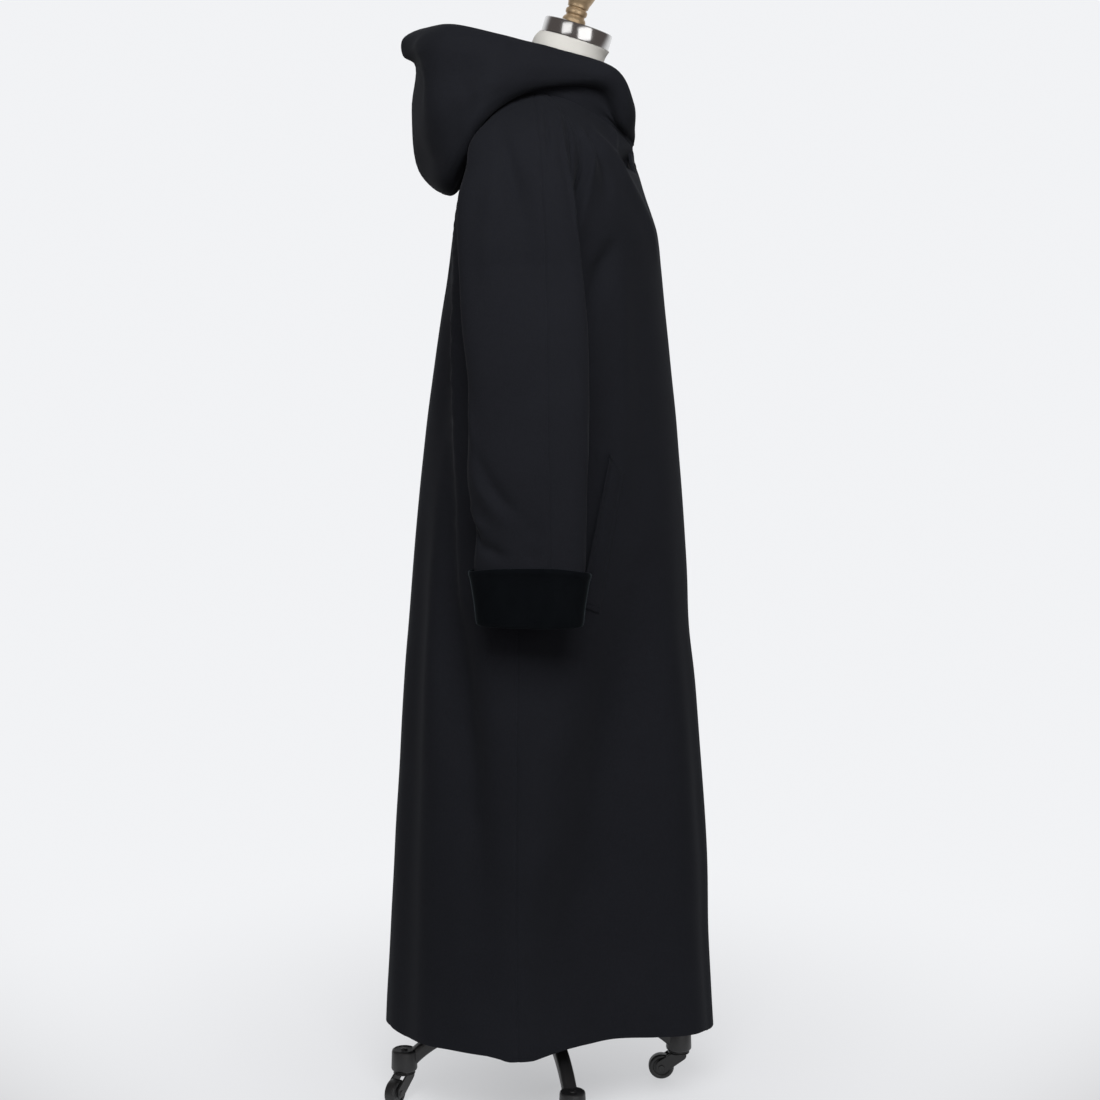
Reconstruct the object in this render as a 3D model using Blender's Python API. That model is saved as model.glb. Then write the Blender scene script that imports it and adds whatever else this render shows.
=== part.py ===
"""Hooded wool coat on a limbless dress form with a wheeled stand.

Metres, +Z up. The coat faces -Y and the wearer's right side is at -X. The origin is on the floor under the
middle of the hem. "out" is the distance from the middle plane, the same on both sides.
"""
import math

import bmesh
import bpy
import numpy as np
from mathutils import Matrix

for old in list(bpy.data.objects):
    bpy.data.objects.remove(old, do_unlink=True)

# Cloth thicknesses and clearances
WOOL_WALL = 0.0025
SEAM_GAP = 0.0003
LAP = 0.022
LAP_CLEARANCE = 0.0006
TRIM_CLEARANCE = 0.0006
NECK_SEAM_GAP = 0.0005
ARMHOLE_CENTRE = (0.185, 0.030, 1.330)

# How finely the panels are divided
SKIRT_ROWS = 13
YOKE_ROWS = 9
SLEEVE_ROWS = 11
PANEL_COLUMNS = 13
SLEEVE_COLUMNS = 9
HOOD_COLUMNS = 15
HOOD_ROWS = 15
CUFF_COLUMNS = 12
ROUND_SIDES = 32

# Skirt sections from the hem (first row) up to the underarm (last row)
SKIRT_COLUMNS = "side_out side_y side_z front_y front_z back_y back_z front_round side_round back_round"
SKIRT = [
    (0.210, 0.044, 0.115, -0.2415, 0.100, 0.2415, 0.100, 0.36, 0.26, 0.50),
    (0.208, 0.046, 0.250, -0.2330, 0.240, 0.2335, 0.240, 0.38, 0.28, 0.50),
    (0.206, 0.046, 0.400, -0.2275, 0.390, 0.2250, 0.390, 0.42, 0.32, 0.50),
    (0.203, 0.045, 0.590, -0.2120, 0.590, 0.2120, 0.590, 0.46, 0.38, 0.52),
    (0.201, 0.043, 0.700, -0.1995, 0.700, 0.2030, 0.700, 0.50, 0.42, 0.53),
    (0.199, 0.041, 0.800, -0.1950, 0.800, 0.1950, 0.800, 0.53, 0.46, 0.54),
    (0.196, 0.037, 0.970, -0.1815, 0.970, 0.1770, 0.970, 0.55, 0.50, 0.55),
    (0.193, 0.033, 1.090, -0.1680, 1.090, 0.1600, 1.095, 0.55, 0.51, 0.55),
    (0.190, 0.030, 1.215, -0.1555, 1.215, 0.1415, 1.215, 0.55, 0.51, 0.55),
]

# Seams above the underarm, from the underarm (first row) to the neckline (last row)
YOKE_COLUMNS = ("front_out front_y front_z over_out over_y over_z rear_out rear_y rear_z "
                "breast_y breast_z spine_y spine_z")
YOKE = [
    (0.190, 0.030, 1.215, 0.256, 0.006, 1.215, 0.190, 0.030, 1.215, -0.1555, 1.215, 0.1415, 1.215),
    (0.188, 0.014, 1.236, 0.254, 0.007, 1.250, 0.188, 0.046, 1.236, -0.1535, 1.236, 0.1360, 1.255),
    (0.185, -0.006, 1.262, 0.249, 0.009, 1.287, 0.185, 0.064, 1.262, -0.1500, 1.258, 0.1295, 1.293),
    (0.180, -0.030, 1.302, 0.240, 0.011, 1.322, 0.180, 0.082, 1.298, -0.1425, 1.281, 0.1220, 1.328),
    (0.171, -0.050, 1.347, 0.222, 0.013, 1.356, 0.170, 0.089, 1.332, -0.1345, 1.302, 0.1125, 1.362),
    (0.155, -0.042, 1.385, 0.192, 0.016, 1.390, 0.154, 0.081, 1.366, -0.1275, 1.323, 0.1010, 1.395),
    (0.126, -0.018, 1.418, 0.148, 0.019, 1.419, 0.122, 0.068, 1.406, -0.1215, 1.346, 0.0870, 1.425),
    (0.088, 0.002, 1.441, 0.091, 0.022, 1.444, 0.074, 0.055, 1.447, -0.1170, 1.367, 0.0700, 1.453),
]

# How the cloth leaves each seam above the underarm: handles as out, y and z steps, one row per yoke row
FRONT_HANDLE_COLUMNS = "breast_out breast_rise out y z"
FRONT_HANDLES = [
    (0.105, 0.000, 0.000, -0.095, 0.000),
    (0.102, 0.000, -0.004, -0.085, 0.000),
    (0.098, 0.000, -0.008, -0.072, -0.002),
    (0.092, 0.002, -0.016, -0.058, -0.005),
    (0.082, 0.004, -0.026, -0.046, -0.010),
    (0.066, 0.005, -0.022, -0.044, -0.018),
    (0.050, 0.006, -0.012, -0.045, -0.024),
    (0.035, 0.006, -0.002, -0.050, -0.018),
]
BACK_HANDLE_COLUMNS = "spine_out out y z"
BACK_HANDLES = [
    (0.105, 0.000, 0.062, 0.000),
    (0.100, -0.004, 0.056, 0.003),
    (0.095, -0.010, 0.044, 0.006),
    (0.090, -0.024, 0.032, 0.008),
    (0.080, -0.042, 0.020, 0.010),
    (0.068, -0.050, 0.012, 0.010),
    (0.050, -0.040, 0.010, 0.006),
    (0.030, -0.026, 0.010, 0.003),
]
SLEEVE_HANDLE_COLUMNS = "front_out front_y front_z over_front over_back rear_out rear_y rear_z"
SLEEVE_HANDLES = [
    (0.026, -0.0767, 0.000, 0.0767, 0.1347, 0.026, 0.1347, 0.000),
    (0.026, -0.0620, -0.002, 0.0660, 0.1300, 0.026, 0.1190, -0.002),
    (0.030, -0.0420, -0.004, 0.0550, 0.1220, 0.028, 0.0980, 0.000),
    (0.034, -0.0120, -0.002, 0.0490, 0.1100, 0.030, 0.0727, 0.000),
    (0.026, 0.0100, 0.004, 0.0340, 0.0900, 0.028, 0.0480, 0.004),
    (0.017, 0.0140, 0.004, 0.0280, 0.0640, 0.022, 0.0240, 0.006),
    (0.010, 0.0100, 0.003, 0.0160, 0.0380, 0.012, 0.0080, 0.006),
    (0.002, 0.0060, 0.001, 0.0070, 0.0130, 0.008, -0.0100, -0.001),
]

# Sleeve sections from the wrist (first row) up to the underarm (last row)
SLEEVE_COLUMN_NAMES = "height under_out over_out front_y back_y over_y under_y under_lean"
SLEEVE = [
    (0.752, 0.228, 0.284, -0.0375, 0.0920, 0.000, 0.028, 0.000),
    (0.820, 0.226, 0.286, -0.0447, 0.0985, 0.000, 0.029, 0.000),
    (0.864, 0.225, 0.288, -0.0460, 0.0958, 0.000, 0.030, 0.000),
    (0.897, 0.224, 0.290, -0.0472, 0.1009, 0.001, 0.031, 0.000),
    (0.937, 0.223, 0.290, -0.0485, 0.1072, 0.001, 0.032, 0.000),
    (0.980, 0.222, 0.288, -0.0500, 0.1060, 0.002, 0.033, 0.000),
    (1.050, 0.220, 0.283, -0.0497, 0.1045, 0.003, 0.033, 0.000),
    (1.140, 0.211, 0.271, -0.0470, 0.1140, 0.004, 0.032, 0.008),
    (1.215, 0.190, 0.256, -0.0395, 0.1190, 0.006, 0.030, 0.026),
]

# Folds: place round the ring (0 front middle, 1 side seam, 2 back middle) and depth along the outward normal
FOLD_COLUMNS = "place_top place_hem top full depth half_width"
FOLDS = {
    "right": [
        (0.34, 0.27, 1.05, 0.35, 0.012, 0.16),
        (0.62, 0.55, 0.86, 0.20, -0.024, 0.24),
        (0.80, 0.80, 1.20, 0.95, -0.006, 0.16),
        (1.60, 1.46, 1.29, 0.80, 0.010, 0.13),
        (1.76, 1.66, 1.27, 0.60, -0.012, 0.15),
    ],
    "left": [
        (0.36, 0.30, 1.00, 0.30, 0.009, 0.17),
        (0.60, 0.52, 0.90, 0.25, -0.020, 0.22),
        (0.80, 0.78, 1.20, 0.95, -0.005, 0.16),
        (1.54, 1.40, 1.25, 0.70, 0.010, 0.14),
        (1.72, 1.62, 1.22, 0.60, -0.010, 0.16),
    ],
}

# Hood sections from the front edge (first row) to the centre back (last row). The first column is the place
# along the neckline that the section is sewn to, and each triple after it is a point of the section.
HOOD_STAND = 0.006
HOOD_LINES = ("neckline", "stand", "under", "fold", "rise", "knee", "lobe", "rim", "edge")
HOOD = [
    (0.015, (0.006, -0.1170, 1.3790), (0.008, -0.1175, 1.3830), (0.010, -0.1180, 1.3870),
     (0.011, -0.1182, 1.3910), (0.011, -0.1180, 1.3950), (0.010, -0.1170, 1.3985), (0.009, -0.1155, 1.4010)),
    (0.20, (0.049, -0.0990, 1.3960), (0.060, -0.1020, 1.4030), (0.064, -0.1070, 1.4110),
     (0.062, -0.1110, 1.4190), (0.056, -0.1125, 1.4260), (0.048, -0.1120, 1.4310), (0.039, -0.1060, 1.4320)),
    (0.42, (0.094, -0.0620, 1.4350), (0.116, -0.0690, 1.4480), (0.121, -0.0760, 1.4560),
     (0.116, -0.0830, 1.4640), (0.106, -0.0860, 1.4700), (0.094, -0.0830, 1.4745), (0.080, -0.0720, 1.4700)),
    (0.64, (0.112, 0.0000, 1.4500), (0.141, -0.0100, 1.4500), (0.152, -0.0110, 1.4600),
     (0.146, -0.0110, 1.4800), (0.133, -0.0100, 1.4960), (0.116, -0.0060, 1.5050), (0.098, 0.0020, 1.4920)),
    (0.76, (0.106, 0.0700, 1.4380), (0.136, 0.0920, 1.4080), (0.153, 0.1060, 1.4180),
     (0.155, 0.0960, 1.4600), (0.142, 0.0820, 1.5000), (0.120, 0.0680, 1.5200), (0.098, 0.0600, 1.4980)),
    (0.88, (0.074, 0.1160, 1.3800), (0.088, 0.1400, 1.3320), (0.104, 0.1640, 1.3450),
     (0.118, 0.1680, 1.4300), (0.118, 0.1580, 1.5000), (0.096, 0.1280, 1.5330), (0.074, 0.1060, 1.5060)),
    (1.00, (0.000, 0.1310, 1.3540), (0.000, 0.1480, 1.3098), (0.000, 0.1800, 1.3280),
     (0.000, 0.1915, 1.4100), (0.000, 0.2080, 1.5120), (0.000, 0.1600, 1.5400), (0.000, 0.1200, 1.5100)),
]

# Turned-back cuff: closed section, each row a step out from the sleeve's outer face and a height
CUFF = [
    (-0.0025, 0.7515), (-0.0023, 0.7460), (0.0000, 0.7428), (0.0032, 0.7432), (0.0044, 0.7480), (0.0052, 0.7750),
    (0.0066, 0.8080), (0.0072, 0.8140), (0.0058, 0.8172), (0.0040, 0.8150), (0.0034, 0.8080), (0.0020, 0.7750),
    (0.0010, 0.7530), (0.0006, 0.7515),
]

# Hip pocket welts and the neck button
WELT_TOP = {"y": -0.095, "z": 0.946}
WELT_BOTTOM = {"y": -0.062, "z": 0.745}
WELT_WIDTH = 0.024
WELT_THICK = 0.0028
WELT_SKEW = 0.16
WELT_ROWS = 12
WELT_COLUMNS = 4
BUTTON_RADIUS = 0.010
BUTTON_THICK = 0.0045
BUTTON_HEIGHT = 1.343

# Dress form: torso rings with their tilt in degrees, then the neck metalwork
TORSO_COLUMNS = "height half_width front back tilt squareness"
TORSO = [
    (0.780, 0.140, -0.090, 0.105, 0.0, 2.2),
    (0.800, 0.150, -0.102, 0.116, 0.0, 2.2),
    (0.900, 0.160, -0.112, 0.124, 0.0, 2.2),
    (1.020, 0.128, -0.100, 0.082, 0.0, 2.2),
    (1.120, 0.142, -0.115, 0.088, 0.0, 2.2),
    (1.230, 0.160, -0.130, 0.098, 0.0, 2.2),
    (1.310, 0.168, -0.108, 0.098, 0.0, 2.3),
    (1.360, 0.168, -0.076, 0.082, 0.0, 2.2),
    (1.392, 0.160, -0.046, 0.064, 0.0, 2.0),
    (1.418, 0.1422, -0.030, 0.056, 1.0, 1.8),
    (1.435, 0.086, -0.036, 0.050, 4.0, 1.8),
    (1.455, 0.060, -0.062, 0.042, 9.0, 2.0),
    (1.480, 0.053, -0.070, 0.032, 14.0, 2.0),
    (1.507, 0.0495, -0.0755, 0.0235, 17.0, 2.0),
    (1.5186, 0.0482, -0.0822, 0.0142, 17.0, 2.0),
]
NECK_TILT = math.radians(17.0)
BAND_RADIUS = 0.0485
BAND_HEIGHT = 0.0215
BAND_FOOT = (0.0, -0.0341, 1.5189)
# Turned knob: each row a radius and a height along its axis
FINIAL = [
    (0.0148, 0.0000), (0.0148, 0.0060), (0.0115, 0.0085), (0.0112, 0.0120), (0.0120, 0.0140), (0.0095, 0.0165),
    (0.0098, 0.0195), (0.0140, 0.0245), (0.0185, 0.0330), (0.0205, 0.0430), (0.0190, 0.0530), (0.0140, 0.0620),
    (0.0070, 0.0680), (0.0000, 0.0700),
]

# Stand
STAND_Y = 0.010
LEG_TURN = math.radians(11.5)
LEG_COUNT = 4
CASTER_RADIUS = 0.207
HUB_RADIUS = 0.032
HUB_LOW = 0.080
HUB_HIGH = 0.145
POLE_RADIUS = 0.0125
LEG_WIDTH = 0.020
LEG_DEEP = 0.020
LEG_PATH = [(HUB_RADIUS + SEAM_GAP, 0.106), (0.100, 0.112), (0.160, 0.098), (0.198, 0.059)]
LEG_STEPS = 10
HOUSING = [(0.0000, 0.0680), (0.0028, 0.0680), (0.0030, 0.0760), (0.0165, 0.0760), (0.0180, 0.0742),
           (0.0190, 0.0470), (0.0175, 0.0452), (0.0000, 0.0452)]
RACEWAY = [(0.0000, 0.0449), (0.0150, 0.0449), (0.0162, 0.0435), (0.0152, 0.0420), (0.0160, 0.0408),
           (0.0145, 0.0395), (0.0000, 0.0395)]
CASTER_TRAIL = 0.026
TRAIL_ANGLES = [math.radians(angle) for angle in (60.0, 152.0, 200.0, 90.0)]
WHEEL_RADIUS = 0.019
WHEEL_WIDTH = 0.016
WHEEL_SIDES = 24
BORE_RADIUS = 0.0036
AXLE_RADIUS = 0.0030
CHEEK_THICK = 0.0025
CHEEK_CLEARANCE = 0.0007
CHEEK = [(-0.011, 0.0425), (0.012, 0.0425), (0.034, 0.0270), (0.034, 0.0130), (0.019, 0.0130), (-0.011, 0.0340)]


# Tables and curves
def column_numbers(names, rows):
    """A table as one array of numbers for each named column."""
    return dict(zip(names.split(), np.array(rows, dtype=float).T))


def smooth(values, place):
    """Values of a column at fractional row places, on a curve that passes through every row."""
    values = np.asarray(values, dtype=float)
    place = np.asarray(place, dtype=float)
    last = len(values) - 1
    row = np.clip(np.floor(place).astype(int), 0, last - 1)
    step = place - row
    before = values[np.maximum(row - 1, 0)]
    start = values[row]
    end = values[row + 1]
    after = values[np.minimum(row + 2, last)]
    start_slope = np.where(row == 0, end - start, (end - before) / 2)
    end_slope = np.where(row == last - 1, end - start, (after - start) / 2)
    rise = end - start
    bend = 3 * rise - 2 * start_slope - end_slope
    twist = start_slope + end_slope - 2 * rise
    return start + step * (start_slope + step * (bend + step * twist))


def bezier(start, start_handle, end_handle, end, place):
    """Points of a cubic curve at an array of places from 0 to 1."""
    place = np.asarray(place, dtype=float)[:, None]
    back = 1 - place
    return (back ** 3 * np.array(start) + 3 * back ** 2 * place * np.array(start_handle)
            + 3 * back * place ** 2 * np.array(end_handle) + place ** 3 * np.array(end))


def through(points, places):
    """Points of a curve through a list of points, at places counted in points, with no overshoot."""
    points = np.asarray(points, dtype=float)
    places = np.asarray(places, dtype=float)
    knots = np.concatenate([[0], np.cumsum(np.sqrt(np.linalg.norm(np.diff(points, axis=0), axis=1)))])
    slopes = np.gradient(points, knots, axis=0)
    row = np.clip(np.floor(places).astype(int), 0, len(points) - 2)
    step = (places - row)[:, None]
    width = (knots[row + 1] - knots[row])[:, None]
    rise = points[row + 1] - points[row]
    start_slope = slopes[row] * width
    end_slope = slopes[row + 1] * width
    bend = 3 * rise - 2 * start_slope - end_slope
    twist = start_slope + end_slope - 2 * rise
    return points[row] + step * (start_slope + step * (bend + step * twist))


def unit(vectors):
    """Vectors scaled to length one."""
    length = np.linalg.norm(vectors, axis=-1, keepdims=True)
    return vectors / np.maximum(length, 1e-12)


def ease(value):
    """Rises smoothly from 0 to 1 and stays there."""
    value = np.clip(value, 0, 1)
    return value * value * (3 - 2 * value)


SKIRT_TABLE = column_numbers(SKIRT_COLUMNS, SKIRT)
YOKE_TABLE = column_numbers(YOKE_COLUMNS, YOKE)
FRONT_HANDLE_TABLE = column_numbers(FRONT_HANDLE_COLUMNS, FRONT_HANDLES)
BACK_HANDLE_TABLE = column_numbers(BACK_HANDLE_COLUMNS, BACK_HANDLES)
SLEEVE_HANDLE_TABLE = column_numbers(SLEEVE_HANDLE_COLUMNS, SLEEVE_HANDLES)
SLEEVE_TABLE = column_numbers(SLEEVE_COLUMN_NAMES, SLEEVE)
UNDERARM = len(SKIRT) - 1
UNDERARM_HEIGHT = float(SKIRT_TABLE["side_z"][-1])
NECK_LEVEL = UNDERARM + len(YOKE) - 1


def row_of(table, place):
    """Every column of a table at one row place."""
    return {name: float(smooth(values, place)) for name, values in table.items()}


# Coat sections: a level is a skirt row up to the underarm, then a yoke row
def front_section(level, places):
    """Points of the plain front from the front middle (0) to the side or raglan seam (1)."""
    if level <= UNDERARM:
        row = row_of(SKIRT_TABLE, level)
        start = (0, row["front_y"], row["front_z"])
        end = (row["side_out"], row["side_y"], row["side_z"])
        start_handle = (row["front_round"] * row["side_out"], row["front_y"], row["front_z"])
        reach = row["side_round"] * (row["side_y"] - row["front_y"])
        end_handle = (row["side_out"], row["side_y"] - reach, row["side_z"])
    else:
        row = row_of(YOKE_TABLE, level - UNDERARM)
        handle = row_of(FRONT_HANDLE_TABLE, level - UNDERARM)
        start = (0, row["breast_y"], row["breast_z"])
        end = (row["front_out"], row["front_y"], row["front_z"])
        start_handle = (handle["breast_out"], row["breast_y"], row["breast_z"] + handle["breast_rise"])
        end_handle = (end[0] + handle["out"], end[1] + handle["y"], end[2] + handle["z"])
    return bezier(start, start_handle, end_handle, end, places)


def back_section(level, places):
    """Points of the plain back from the side or raglan seam (0) to the back middle (1)."""
    if level <= UNDERARM:
        row = row_of(SKIRT_TABLE, level)
        start = (row["side_out"], row["side_y"], row["side_z"])
        end = (0, row["back_y"], row["back_z"])
        reach = row["back_round"] * (row["back_y"] - row["side_y"])
        start_handle = (row["side_out"], row["side_y"] + reach, row["side_z"])
        end_handle = (row["back_round"] * row["side_out"], row["back_y"], row["back_z"])
    else:
        row = row_of(YOKE_TABLE, level - UNDERARM)
        handle = row_of(BACK_HANDLE_TABLE, level - UNDERARM)
        start = (row["rear_out"], row["rear_y"], row["rear_z"])
        end = (0, row["spine_y"], row["spine_z"])
        start_handle = (start[0] + handle["out"], start[1] + handle["y"], start[2] + handle["z"])
        end_handle = (handle["spine_out"], row["spine_y"], row["spine_z"])
    return bezier(start, start_handle, end_handle, end, places)


def fold_depth(side, ring_places, heights):
    """How far the folds of one side push the cloth out along its normal."""
    depth = np.zeros_like(ring_places)
    hem = SKIRT_TABLE["front_z"][0]
    for row in FOLDS[side]:
        fold = dict(zip(FOLD_COLUMNS.split(), row))
        down = np.clip((fold["top"] - heights) / (fold["top"] - hem), 0, 1)
        middle = fold["place_top"] + (fold["place_hem"] - fold["place_top"]) * down
        growth = ease((fold["top"] - heights) / (fold["top"] - fold["full"]))
        across = np.clip((ring_places - middle) / fold["half_width"], -1, 1)
        depth += fold["depth"] * growth * np.cos(across * math.pi / 2) ** 2
    return depth


def folded(points, side, ring_places):
    """A section with its folds, moved along the level outward normal."""
    along = np.gradient(points, axis=0)
    normal = unit(np.stack([along[:, 1], -along[:, 0], np.zeros(len(points))], axis=1))
    return points + normal * fold_depth(side, ring_places, points[:, 2])[:, None]


def sleeve_section(level, places, half):
    """Points of one half of a sleeve: front from the inner seam to the top seam, back the other way."""
    if level <= UNDERARM:
        row = row_of(SLEEVE_TABLE, level)
        under = np.array((row["under_out"], row["under_y"], row["height"]))
        over = np.array((row["over_out"], row["over_y"], row["height"]))
        edge = row["front_y"] if half == "front" else row["back_y"]
        reach = np.array((0, (edge - (row["under_y"] + row["over_y"]) / 2) / 0.75, 0))
        under_handle = under + reach + np.array((row["under_lean"], 0, 0))
        over_handle = over + reach
    else:
        row = row_of(YOKE_TABLE, level - UNDERARM)
        handle = row_of(SLEEVE_HANDLE_TABLE, level - UNDERARM)
        over = np.array((row["over_out"], row["over_y"], row["over_z"]))
        seam = "front" if half == "front" else "rear"
        under = np.array([row[seam + axis] for axis in ("_out", "_y", "_z")])
        under_handle = under + np.array([handle[seam + axis] for axis in ("_out", "_y", "_z")])
        reach = -handle["over_front"] if half == "front" else handle["over_back"]
        over_handle = over + np.array((0, reach, 0))
    if half == "front":
        return bezier(under, under_handle, over_handle, over, places)
    return bezier(over, over_handle, under_handle, under, places)


def on_side(points, side):
    """Points given by their out, put on one side of the middle plane."""
    sign = -1 if side == "right" else 1
    return points * np.array((sign, 1, 1))


def lap_place(level):
    """Where the front section reaches the lap's width."""
    places = np.linspace(0, 0.5, 101)
    outs = front_section(level, places)[:, 0]
    return float(np.interp(LAP, outs, places))


# Panel grids: rows go up, columns go round from the front to the back
SKIRT_LEVELS = np.linspace(0, UNDERARM, SKIRT_ROWS)
YOKE_LEVELS = np.linspace(UNDERARM, NECK_LEVEL, YOKE_ROWS)[1:]
BODY_LEVELS = np.concatenate([SKIRT_LEVELS, YOKE_LEVELS])
SLEEVE_LEVELS = np.concatenate([np.linspace(0, UNDERARM, SLEEVE_ROWS), YOKE_LEVELS])


def front_places(level):
    """Column places of a front panel, from the lap's edge past the middle to the side seam."""
    lap = lap_place(level)
    rest = lap + (1 - lap) * np.linspace(0, 1, PANEL_COLUMNS - 4)[1:]
    return np.concatenate([[-lap, -lap / 2, 0, lap / 2, lap], rest])


def front_grid(side):
    """Outer points of a front panel."""
    rows = []
    for level in BODY_LEVELS:
        places = front_places(level)
        points = front_section(level, np.abs(places))
        points = folded(points, side, np.abs(places))
        points[places < 0, 0] *= -1
        points[np.abs(places) < 1e-9, 0] = 0
        rows.append(on_side(points, side))
    return np.array(rows)


def back_grid():
    """Outer points of the back panel, from the right side seam to the left one."""
    rows = []
    places = np.linspace(0, 1, PANEL_COLUMNS)
    for level in BODY_LEVELS:
        plain = back_section(level, places)
        right = on_side(folded(plain, "right", 1 + places), "right")
        left = on_side(folded(plain, "left", 1 + places), "left")
        left[-1] = right[-1]
        rows.append(np.concatenate([right, left[-2::-1]]))
    return np.array(rows)


def sleeve_grid(side, half):
    """Outer points of one half of a sleeve."""
    places = np.linspace(0, 1, SLEEVE_COLUMNS)
    return np.array([on_side(sleeve_section(level, places, half), side) for level in SLEEVE_LEVELS])


def neckline(side):
    """The neckline's points from the front middle to the back middle, and the way up the cloth there."""
    stretches = [(front_grid(side), 2, PANEL_COLUMNS), (sleeve_grid(side, "front"), 1, SLEEVE_COLUMNS),
                 (sleeve_grid(side, "back"), 1, SLEEVE_COLUMNS)]
    back = back_grid()
    middle = PANEL_COLUMNS - 1
    stretches.append((back[:, :middle + 1] if side == "right" else back[:, :middle - 1:-1], 1, PANEL_COLUMNS))
    points = np.concatenate([grid[-1, first:last] for grid, first, last in stretches])
    below = np.concatenate([grid[-2, first:last] for grid, first, last in stretches])
    return points, unit(points - below)


def hood_grid(side):
    """Outer points of half the hood: each section runs from the neckline round the fold to the edge."""
    points, upward = neckline(side)
    lengths = np.concatenate([[0], np.cumsum(np.linalg.norm(np.diff(points, axis=0), axis=1))])
    raised = points + upward * NECK_SEAM_GAP
    stations = np.linspace(0, len(HOOD) - 1, HOOD_COLUMNS)
    spots = np.linspace(0, len(HOOD_LINES) - 1, HOOD_ROWS)
    neck_places = smooth([row[0] for row in HOOD], stations) * lengths[-1]
    lines = np.array([row[1:] for row in HOOD])
    columns = []
    for station, neck_place in zip(stations, neck_places):
        foot = np.array([np.interp(neck_place, lengths, raised[:, axis]) for axis in range(3)])
        stand = foot + np.array((0, 0, HOOD_STAND))
        rest = [[smooth(line[:, axis], station) for axis in range(3)] for line in lines.transpose(1, 0, 2)]
        section = np.array([foot, stand] + [on_side(np.array(point), side) for point in rest])
        columns.append(through(section, spots))
    grid = np.array(columns).transpose(1, 0, 2)
    grid[:, -1, 0] = 0
    return grid


# Walls
def grid_normals(grid, side):
    """Outward normals of a grid whose columns go round from the front."""
    across = np.gradient(grid, axis=1)
    up = np.gradient(grid, axis=0)
    sign = -1 if side == "right" else 1
    return unit(np.cross(across, up)) * sign


def boundary_spots(grid):
    """Row and column of every point on a grid's edge."""
    rows, columns = grid.shape[:2]
    return [(row, column) for row in range(rows) for column in range(columns)
            if row in (0, rows - 1) or column in (0, columns - 1)]


def spot_key(point):
    """A point as whole hundredths of a millimetre, to find the same point on two panels."""
    return tuple(int(round(value * 1e5)) for value in point)


def edge_direction(grid, row, column):
    """The way into a panel from an edge point, square to the edge."""
    rows, columns = grid.shape[:2]
    on_side_edge = column in (0, columns - 1)
    low, high = max(row - 1, 0), min(row + 1, rows - 1)
    if on_side_edge:
        along = unit(grid[high, column] - grid[low, column])
        inside = grid[row, 1 if column == 0 else columns - 2]
    else:
        along = unit(grid[row, column + 1] - grid[row, column - 1])
        inside = grid[1 if row == 0 else rows - 2, column]
    inward = inside - grid[row, column]
    return unit(inward - along * np.dot(inward, along))


def seam_table(panels):
    """Panels, normals and inward edge directions that meet at each shared edge point."""
    shared = {}
    for name, (grid, normals) in panels.items():
        for row, column in boundary_spots(grid):
            meeting = shared.setdefault(spot_key(grid[row, column]), {})
            meeting[name] = (normals[row, column], edge_direction(grid, row, column))
    return shared


def wall_grids(name, grid, normals, shared, thick):
    """Outer and inner points of a panel, mitred and set apart where it meets another panel."""
    outer = grid.copy()
    inner = grid - normals * thick
    columns = grid.shape[1]
    for row, column in boundary_spots(grid):
        point = grid[row, column]
        meeting = shared[spot_key(point)]
        if len(meeting) < 2:
            continue
        total = sum(normal for normal, inward in meeting.values()) / len(meeting)
        centre = np.array(ARMHOLE_CENTRE) * np.array((np.sign(point[0]), 1, 1))
        on_seam_edge = column in (0, columns - 1)
        on_raglan = on_seam_edge and point[2] > UNDERARM_HEIGHT - 0.001 and abs(point[0]) > 0.07
        lean = 0.15 * unit(centre - point) if on_raglan else np.zeros(3)
        mitre = unit(total - lean)
        inner[row, column] = point - mitre * thick / max(float(np.linalg.norm(total)), 0.45)
        own = meeting[name][1]
        apart = sum(unit(own - inward) for other, (normal, inward) in meeting.items() if other != name)
        for layer in (outer, inner):
            layer[row, column] = layer[row, column] + unit(apart) * SEAM_GAP * 0.6
    return outer, inner


def wall_solid(outer, inner):
    """Points and triangles of a closed wall: outer grid, inner grid and the strip round their edge.

    Both layers of a cell are cut along the same diagonal, and so are two strips that face each other.
    """
    rows, columns = outer.shape[:2]
    points = np.concatenate([outer.reshape(-1, 3), inner.reshape(-1, 3)])
    layer = rows * columns
    faces = []
    for row in range(rows - 1):
        for column in range(columns - 1):
            first = row * columns + column
            second, third, fourth = first + 1, first + columns + 1, first + columns
            rising = np.linalg.norm(points[third] - points[first])
            falling = np.linalg.norm(points[fourth] - points[second])
            if rising < falling:
                cuts = [(first, second, third), (first, third, fourth)]
            else:
                cuts = [(first, second, fourth), (second, third, fourth)]
            for cut in cuts:
                faces.append(cut)
                faces.append(tuple(layer + corner for corner in reversed(cut)))
    rim = list(range(columns))
    rim += [row * columns + columns - 1 for row in range(1, rows)]
    rim += [(rows - 1) * columns + column for column in range(columns - 2, -1, -1)]
    rim += [row * columns for row in range(rows - 2, 0, -1)]
    for first, second in zip(rim, rim[1:] + rim[:1]):
        if points[first][2] < points[second][2]:
            faces += [(second, first, layer + second), (first, layer + first, layer + second)]
        else:
            faces += [(second, first, layer + first), (second, layer + first, layer + second)]
    return points, faces


# Objects and materials
def make_material(name, colour, roughness, metallic):
    """A plain surface with a colour, a roughness and a metallic value."""
    material = bpy.data.materials.new(name)
    material.use_nodes = True
    surface = material.node_tree.nodes["Principled BSDF"]
    surface.inputs["Base Color"].default_value = (*colour, 1)
    surface.inputs["Roughness"].default_value = roughness
    surface.inputs["Metallic"].default_value = metallic
    return material


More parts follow.
